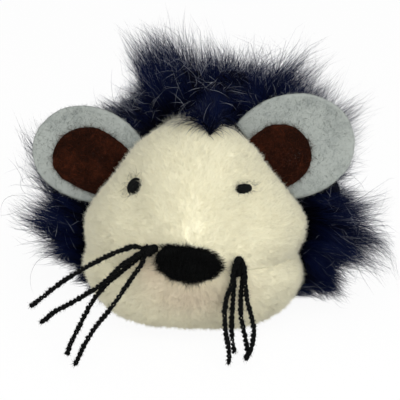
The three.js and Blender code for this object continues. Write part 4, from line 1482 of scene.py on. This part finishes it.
def face_pad(middle, length, breadth, degrees, thickness, pinch=0.0, rings=12, sides=72, ragged=0.0):
    """A domed pad on the face."""
    turn = np.linspace(0, 2 * math.pi, sides, endpoint=False)
    across, up = (edge * (1 + ragged) for edge in oval_edge(turn, length, breadth, degrees, pinch))
    rows = []
    for share in np.linspace(0.06, 1, rings):
        proud = thickness * max(math.sqrt(max(1 - share**DOME_POWER, 0)), PAD_EDGE)
        rows.append(face_point(middle[0] + across * share, middle[1] + up * share, np.full(sides, proud)))
    rows.append(face_point(middle[0] + across, middle[1] + up, np.full(sides, PAD_SINK)))
    return closed_rows(rows, [face_point(*middle, proud) for proud in (thickness, PAD_SINK)])


def stitches(middle, length, breadth, degrees, thickness, count, radius, pinch, rng, crosswise):
    """Threads laid side by side over a pad, each from edge to edge."""
    parts = []
    tilt = math.radians(degrees)
    for share in np.linspace(-0.94, 0.94, count):
        share = share + rng.normal(0, 0.25 / count)
        share = float(np.clip(share, -0.97, 0.97))
        if crosswise:
            half = breadth / 2 * math.sin(math.acos(share)) ** (1 + pinch)
            t = np.linspace(-1, 1, 15)
            across = np.full(len(t), share * length / 2) + 0.35 * np.sin(2 * t + 5 * share)
            up = t * half * THREAD_OVER
        else:
            half = length / 2 * math.sqrt(1 - share * share)
            t = np.linspace(-1, 1, 13)
            across = t * half * THREAD_OVER
            up = np.full(len(t), share * breadth / 2)
        within = 1 - (2 * across / length) ** 2 - np.abs(2 * up / breadth) ** DOME_POWER
        dome = thickness * np.sqrt(np.maximum(within, 0))
        x = middle[0] + across * math.cos(tilt) - up * math.sin(tilt)
        z = middle[1] + across * math.sin(tilt) + up * math.cos(tilt)
        line = face_point(x, z, dome + radius * 0.5 - 0.5 * (np.abs(t) > THREAD_END))
        parts.append(tube(line, radius * rng.uniform(0.85, 1.1), 7))
    return joined(*parts)


def sewn_on(name, node, material, slot, pad, threads, rng, fibres, length, width):
    """A pad and the threads over it as one piece, with its fuzz."""
    points, faces = joined(pad, threads)
    piece = new_piece(name, points, faces, material)
    keep_values(piece, along=np.zeros(len(points)))
    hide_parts(node)
    places, normals, _ = scattered(points, faces, share_of(fibres), rng)
    lie = rng.normal(0, 0.6, places.shape)
    lumpy = length * (1 + 0.7 * swirl(places, 1.6)[:, :1])
    paths, radii = fuzz(places, normals, lie, lumpy, width, rng, 3, loose=0.4)
    hair_piece(f"{name}_fuzz", paths, radii, rng.random(len(places)), material, slot)


def rim_hairs(name, pad, rng, count, spread, radius, proud, material, slot, half_turn=math.pi):
    """Loose hairs over the plush round a pad, to half_turn on both sides of its right-hand end."""
    middle, length, breadth, degrees = pad
    count = share_of(count)
    steps = np.linspace(0, 1, 5)[None]
    turn = rng.uniform(-half_turn, half_turn, (count, 1))
    turn = turn + rng.normal(0, 0.5 * spread, (count, 1)) * steps**2
    share = 0.85 + steps * (0.15 + rng.uniform(0.1, 1, (count, 1)) * spread)
    across, up = oval_edge(turn, length + 0.6, breadth + 0.6, degrees)
    height = proud + rng.uniform(-0.3, 0.4, (count, 1)) + 0 * steps
    paths = face_point(middle[0] + across * share, middle[1] + up * share, height)
    radii = np.tile(radius * np.linspace(1.1, 0.7, 4), (count, 1))
    hair_piece(name, paths, radii, rng.random(count), material, slot)


def make_eyes(settings):
    """The eyes, worked lengthwise in thread."""
    material = yarn_material("black_thread", settings, 0.45)
    rng = np.random.default_rng(41)
    for side, eye in EYES.items():
        place = (eye["spot"], *eye["size"], eye["tilt"])
        name, slot = f"eye_{side}", "black_thread"
        pad = face_pad(*place, 1.9, rings=7, sides=40)
        threads = stitches(*place, 1.7, 8, 0.3, 0, rng, False)
        sewn_on(f"{name}_stitches", name, material, slot, pad, threads, rng, 110, 1.6, 0.08)
        rim_hairs(f"{name}_loose_hairs", place, rng, 46, 1.0, 0.032, 1.5, material, slot)


# The nose: its pad and its threads lie in from its outline, and its ends are drawn out
NOSE_PAD_INSET = 1.6
NOSE_THREAD_INSET = 1
NOSE_PINCH = 0.3
# Its loose hairs leave the left end free for the knot that turns there
NOSE_HAIR_TURN = 0.8 * math.pi


def make_nose(settings):
    """The nose, worked crosswise in wool."""
    material = yarn_material("black_wool", settings, 0.8)
    rng = np.random.default_rng(43)
    length, breadth, thick = NOSE_SIZE
    height = thick - 1
    turn = np.linspace(0, 2 * math.pi, 72, endpoint=False)
    ragged = rng.normal(0, 0.035, len(turn))
    ragged = ragged + 0.12 * bell(np.sin(turn / 2), 0.12) + 0.05 * bell(np.cos(turn / 2), 0.15)
    inner = (NOSE_MIDDLE, length - NOSE_PAD_INSET, breadth - NOSE_PAD_INSET, NOSE_TILT)
    outer = (NOSE_MIDDLE, length - NOSE_THREAD_INSET, breadth - NOSE_THREAD_INSET, NOSE_TILT)
    pad = face_pad(*inner, height, NOSE_PINCH, sides=len(turn), ragged=ragged)
    threads = stitches(*outer, height, 24, 0.5, NOSE_PINCH, rng, True)
    sewn_on("nose_stitches", "nose", material, "black_yarn", pad, threads, rng, 9000, 2.2, 0.17)
    rim_hairs("nose_loose_hairs", outer, rng, 700, 0.26, 0.11, 1.4, material, "black_yarn", NOSE_HAIR_TURN)


# Whiskers

# The plies of the yarn as shares of its radius: how far out they lie, how thick they are and how knobbly
PLY_OFFSET = 0.54
PLY_RADIUS = 0.53
PLY_KNOBS = 0.3
# How far apart the points along a whisker are, how many loose fibres each has, and the frayed end
YARN_SPACING = 0.28
FUZZ_PER_POINT = 7
FUZZ_WIDTH = 0.12
FRAY_FIBRES = 40
FRAY_LENGTH = 1.5
FRAY_WIDTH = 0.2
FRAY_START = 0.8
LOOSE_ALONG = 0.8
# Which way each knot is drawn out, how far, and its middle from the middle of the solid
KNOT_FORMS = {
    "left": ((0.94, 0, 0.34), 1.7, (1.0, 0, 0.2)),
    "right": ((0.1, 0, 0.995), 2.2, (-0.6, -0.8, -2.4)),
}
KNOT_SIZE = 1.35
KNOT_TURNS = 3
KNOT_FUZZ = 420


def twisted(line, radius, pitch, plies=2):
    """Plies wound round a line, as tubes of points."""
    ahead = unit(np.gradient(line, axis=0))
    gone = np.concatenate([[0], np.cumsum(np.linalg.norm(np.diff(line, axis=0), axis=1))])
    side = unit(np.cross(ahead, (0.31, 0.9, 0.23)))
    up = np.cross(ahead, side)
    for ply in range(plies):
        turn = 2 * math.pi * (gone / pitch + ply / plies)[:, None]
        knobs = 1 + PLY_KNOBS * np.sin(gone * 2.3 + ply * 2.0)[:, None]
        yield line + radius * PLY_OFFSET * knobs * (np.cos(turn) * side + np.sin(turn) * up)


def with_fibres(body, *fibres):
    """A yarn's plies and its loose fibres as one, and how pale each point is."""
    points, faces = joined(body, *(strand_points(paths, radii) for paths, radii in fibres))
    along = np.zeros(len(points))
    along[len(body[0]):] = LOOSE_ALONG
    return points, faces, along


def yarn_mesh(line, settings, rng):
    """Two-ply yarn along a line, with fuzz and a frayed end."""
    radius = settings.diameter / MM / 2
    parts = []
    for ply in twisted(line, radius, settings.pitch / MM):
        uneven = np.convolve(rng.normal(0, 1, len(ply)), np.ones(7) / 3, "same")
        parts.append(tube(ply, radius * PLY_RADIUS * (1 + 0.18 * uneven), 8))
    body = joined(*parts)
    places, normals, _ = scattered(*body, share_of(FUZZ_PER_POINT * len(line)), rng)
    lie = rng.normal(0, 0.55, places.shape)
    loose = fuzz(places, normals, lie, settings.fuzz / MM, FUZZ_WIDTH, rng, 2, loose=0.3)
    end = unit(line[-1] - line[-4])
    tips = line[-1] + rng.normal(0, radius * 0.4, (FRAY_FIBRES, 3)) - end * FRAY_START
    ahead = np.tile(end, (FRAY_FIBRES, 1))
    frayed = fuzz(tips, ahead, np.zeros(3), FRAY_LENGTH, FRAY_WIDTH, rng, 2, loose=0.55)
    return with_fibres(body, loose, frayed)


def knot_mesh(side, middle, rng):
    """A knot: yarn wound over and over itself."""
    way, tall, shift = KNOT_FORMS[side]
    middle = middle + np.array(shift)
    axes = np.stack([np.cross((0, 1, 0), way), (0, 1, 0), way])
    t = np.linspace(0, 2 * math.pi * KNOT_TURNS, 150)
    over = 2 * t / KNOT_TURNS
    wound = np.stack([np.cos(over) * np.cos(t), np.cos(over) * np.sin(t), np.sin(over)], -1)
    wound = (wound * np.array([KNOT_SIZE, KNOT_SIZE, KNOT_SIZE * tall])) @ axes
    rise = tall * np.array([-1.3, -0.6, 0.6, 1.3])
    core = tube(middle + rise[:, None] * np.array(way), [0.5, 1.2, 1.2, 0.5], 12)
    body = joined(core, *(tube(ply, 0.42, 7) for ply in twisted(middle + wound, 0.7, 2.6)))
    places, normals, _ = scattered(*body, share_of(KNOT_FUZZ), rng)
    return with_fibres(body, fuzz(places, normals, rng.normal(0, 0.6, places.shape), 1.5, 0.1, rng, 2))


def make_whiskers(settings):
    """The yarn whiskers and the knots that they hang from."""
    material = yarn_material("black_yarn", settings, 0.72)
    rng = np.random.default_rng(47)
    for side, routes in ROUTES.items():
        knot = np.array(JOINTS[f"whiskers_{side}_swing"]["pos_m"]) / MM
        body = f"whiskers_{side}"
        for number, route in enumerate(routes, 1):
            line, length = spline(np.array([np.multiply(route[0], 0.2), *route]) + knot, YARN_SPACING)
            points, faces, along = yarn_mesh(line, settings, rng)
            node = f"whisker_{side}_{number}"
            piece = new_piece(f"{node}_yarn", points, faces, material, body)
            keep_values(piece, along=along)
            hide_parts(node)
        points, faces, along = knot_mesh(side, knot, rng)
        piece = new_piece(f"whisker_knot_{side}_yarn", points, faces, material, body)
        keep_values(piece, along=along)
        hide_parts(f"whisker_knot_{side}")


# Filling and stage


def make_filling():
    """The inner pieces keep the solids' shapes and get their own finishes."""
    fibre = loose_material("fibre_filling", linear(246, 243, 236), linear(205, 200, 190), 3, 1.0)
    herb = loose_material("dried_herb", linear(128, 134, 76), linear(62, 60, 30), 1.6, 1.2)
    muslin = muslin_material()
    finishes = {"filling_front": fibre, "filling_rear": fibre, "catnip_herb": herb,
                "sachet_front": muslin, "sachet_back": muslin}
    for node, material in finishes.items():
        data = frame["nodes"][node].data
        data.materials.clear()
        data.materials.append(material)


# The floor: how far it goes each way and below the object, in metres, and how white the camera sees it
FLOOR_REACH = 3
FLOOR_DROP = 0.0002
FLOOR_WHITE = 0.94
WHITE = (1, 1, 1, 1)
# Lamps: place in metres and share of the power of the key
LAMPS = {"key": ((0.12, -0.5, 0.45), 1), "fill": ((0.5, -0.45, 0.25), 0.06)}
LAMP_SIZE = 0.5
LAMP_AIM = Vector((0, 0, 0.035))
# The place that the camera looks at, and how far above it the middle of the view lies
CAMERA_AIM = Vector((1.5, 0, 37.5)) * MM
CAMERA_RISE = 4.08 * MM


def make_floor(settings):
    """A pale floor that the camera sees as nearly white."""
    material, shade = new_material("pale_floor")
    seen = shade.add("ShaderNodeLightPath", output="Is Camera Ray")
    lit = shade.add("ShaderNodeBsdfDiffuse", None, {"Color": (*settings.floor, 1)})
    white = shade.add("ShaderNodeEmission", None, {"Color": WHITE, "Strength": 1.0})
    surface = shade.add("ShaderNodeMixShader", None, {0: seen * FLOOR_WHITE, 1: lit, 2: white})
    shade.add("ShaderNodeOutputMaterial", None, {"Surface": surface})
    mesh = bpy.data.meshes.new("floor")
    reach = FLOOR_REACH
    corners = [(-reach, -reach), (reach, -reach), (reach, reach), (-reach, reach)]
    mesh.from_pydata([(x, y, -FLOOR_DROP) for x, y in corners], [], [(0, 1, 2, 3)])
    mesh.materials.append(material)
    floor = bpy.data.objects.new("floor", mesh)
    bpy.context.collection.objects.link(floor)


def make_light(settings):
    """Light from all round, and two large soft lamps."""
    world = bpy.data.worlds.new("soft_studio")
    world.use_nodes = True
    world.node_tree.nodes.clear()
    sky = Shade(world.node_tree)
    path = [sky.add("ShaderNodeLightPath", output=name)
            for name in ("Is Camera Ray", "Is Glossy Ray", "Is Transmission Ray")]
    shown = (path[0] + path[1] + path[2]).clamped()
    strength = settings.ambient + shown * (1 - settings.ambient)
    light = sky.add("ShaderNodeBackground", None, {"Color": WHITE, "Strength": strength})
    sky.add("ShaderNodeOutputWorld", None, {"Surface": light})
    bpy.context.scene.world = world
    for name, (place, share) in LAMPS.items():
        lamp = bpy.data.lights.new(name, "AREA")
        lamp.size = LAMP_SIZE
        lamp.energy = settings.key * share
        lamp_object = bpy.data.objects.new(name, lamp)
        lamp_object.location = place
        lamp_object.rotation_euler = (LAMP_AIM - Vector(place)).to_track_quat("-Z", "Y").to_euler()
        bpy.context.collection.objects.link(lamp_object)


def make_camera(settings):
    """The camera of the photograph."""
    camera = bpy.data.objects.new("camera", bpy.data.cameras.new("camera"))
    camera.data.sensor_fit = "HORIZONTAL"
    camera.data.angle = 2 * math.atan(settings.view / 2 / settings.distance)
    camera.data.clip_start = 0.01
    azimuth, elevation = settings.azimuth, settings.elevation
    toward = Vector((math.sin(azimuth) * math.cos(elevation), -math.cos(azimuth) * math.cos(elevation),
                     math.sin(elevation)))
    turn = toward.to_track_quat("Z", "Y")
    aim = CAMERA_AIM + turn @ Vector((0, CAMERA_RISE, 0))
    camera.location = aim + toward * settings.distance
    camera.rotation_euler = turn.to_euler()
    bpy.context.collection.objects.link(camera)
    bpy.context.scene.camera = camera


class MOUSE_OT_stage(bpy.types.Operator):
    """Set up the camera, the floor and the light"""

    bl_idname = "mouse.stage"
    bl_label = "Stage"

    def execute(self, context):
        settings = context.scene.mouse_stage
        context.scene.view_settings.view_transform = "Standard"
        make_floor(settings)
        make_light(settings)
        make_camera(settings)
        return {"FINISHED"}


class MOUSE_OT_whiskers(bpy.types.Operator):
    """Twist the yarn whiskers and tie their knots"""

    bl_idname = "mouse.whiskers"
    bl_label = "Whiskers"

    def execute(self, context):
        make_whiskers(context.scene.mouse_yarn)
        return {"FINISHED"}


class MOUSE_OT_plush(bpy.types.Operator):
    """Cover the face, chin and belly in plush"""

    bl_idname = "mouse.plush"
    bl_label = "Plush"

    def execute(self, context):
        make_plush(context.scene.mouse_plush)
        return {"FINISHED"}


class MOUSE_OT_fur(bpy.types.Operator):
    """Grow the long fur of the back"""

    bl_idname = "mouse.fur"
    bl_label = "Fur"

    def execute(self, context):
        make_fur(context.scene.mouse_fur)
        return {"FINISHED"}


class MOUSE_OT_ears(bpy.types.Operator):
    """Cut the felt ears and their linings"""

    bl_idname = "mouse.ears"
    bl_label = "Ears"

    def execute(self, context):
        make_ears(context.scene.mouse_felt)
        return {"FINISHED"}


class MOUSE_OT_eyes(bpy.types.Operator):
    """Embroider the eyes"""

    bl_idname = "mouse.eyes"
    bl_label = "Eyes"

    def execute(self, context):
        make_eyes(context.scene.mouse_yarn)
        return {"FINISHED"}


class MOUSE_OT_nose(bpy.types.Operator):
    """Embroider the nose"""

    bl_idname = "mouse.nose"
    bl_label = "Nose"

    def execute(self, context):
        make_nose(context.scene.mouse_yarn)
        return {"FINISHED"}


class MOUSE_OT_filling(bpy.types.Operator):
    """Finish the filling and the sachet inside"""

    bl_idname = "mouse.filling"
    bl_label = "Filling"

    def execute(self, context):
        make_filling()
        return {"FINISHED"}


OPERATORS = (MOUSE_OT_stage, MOUSE_OT_whiskers, MOUSE_OT_plush, MOUSE_OT_fur, MOUSE_OT_ears, MOUSE_OT_eyes,
             MOUSE_OT_nose, MOUSE_OT_filling)
SETTINGS = {"mouse_stage": StageSettings, "mouse_plush": PlushSettings, "mouse_fur": FurSettings,
            "mouse_felt": FeltSettings, "mouse_yarn": YarnSettings}


class MOUSE_PT_pieces(bpy.types.Panel):
    """The pieces of the mouse and their settings"""

    bl_label = "Catnip mouse"
    bl_space_type = "VIEW_3D"
    bl_region_type = "UI"
    bl_category = "Mouse"

    def draw(self, context):
        for operator in OPERATORS:
            self.layout.operator(operator.bl_idname)
        for name, group in SETTINGS.items():
            box = self.layout.box()
            box.label(text=name.split("_")[1].capitalize())
            for key in group.__annotations__:
                box.prop(getattr(context.scene, name), key)


def register():
    for group in (*SETTINGS.values(), *OPERATORS, MOUSE_PT_pieces):
        bpy.utils.register_class(group)
    for name, group in SETTINGS.items():
        setattr(bpy.types.Scene, name, bpy.props.PointerProperty(type=group))


def unregister():
    for name in SETTINGS:
        delattr(bpy.types.Scene, name)
    for group in reversed((*SETTINGS.values(), *OPERATORS, MOUSE_PT_pieces)):
        bpy.utils.unregister_class(group)


def main():
    """Makes every piece."""
    register()
    for operator in OPERATORS:
        group, name = operator.bl_idname.split(".")
        getattr(getattr(bpy.ops, group), name)()
    bpy.context.view_layer.update()


if __name__ == "__main__":
    main()
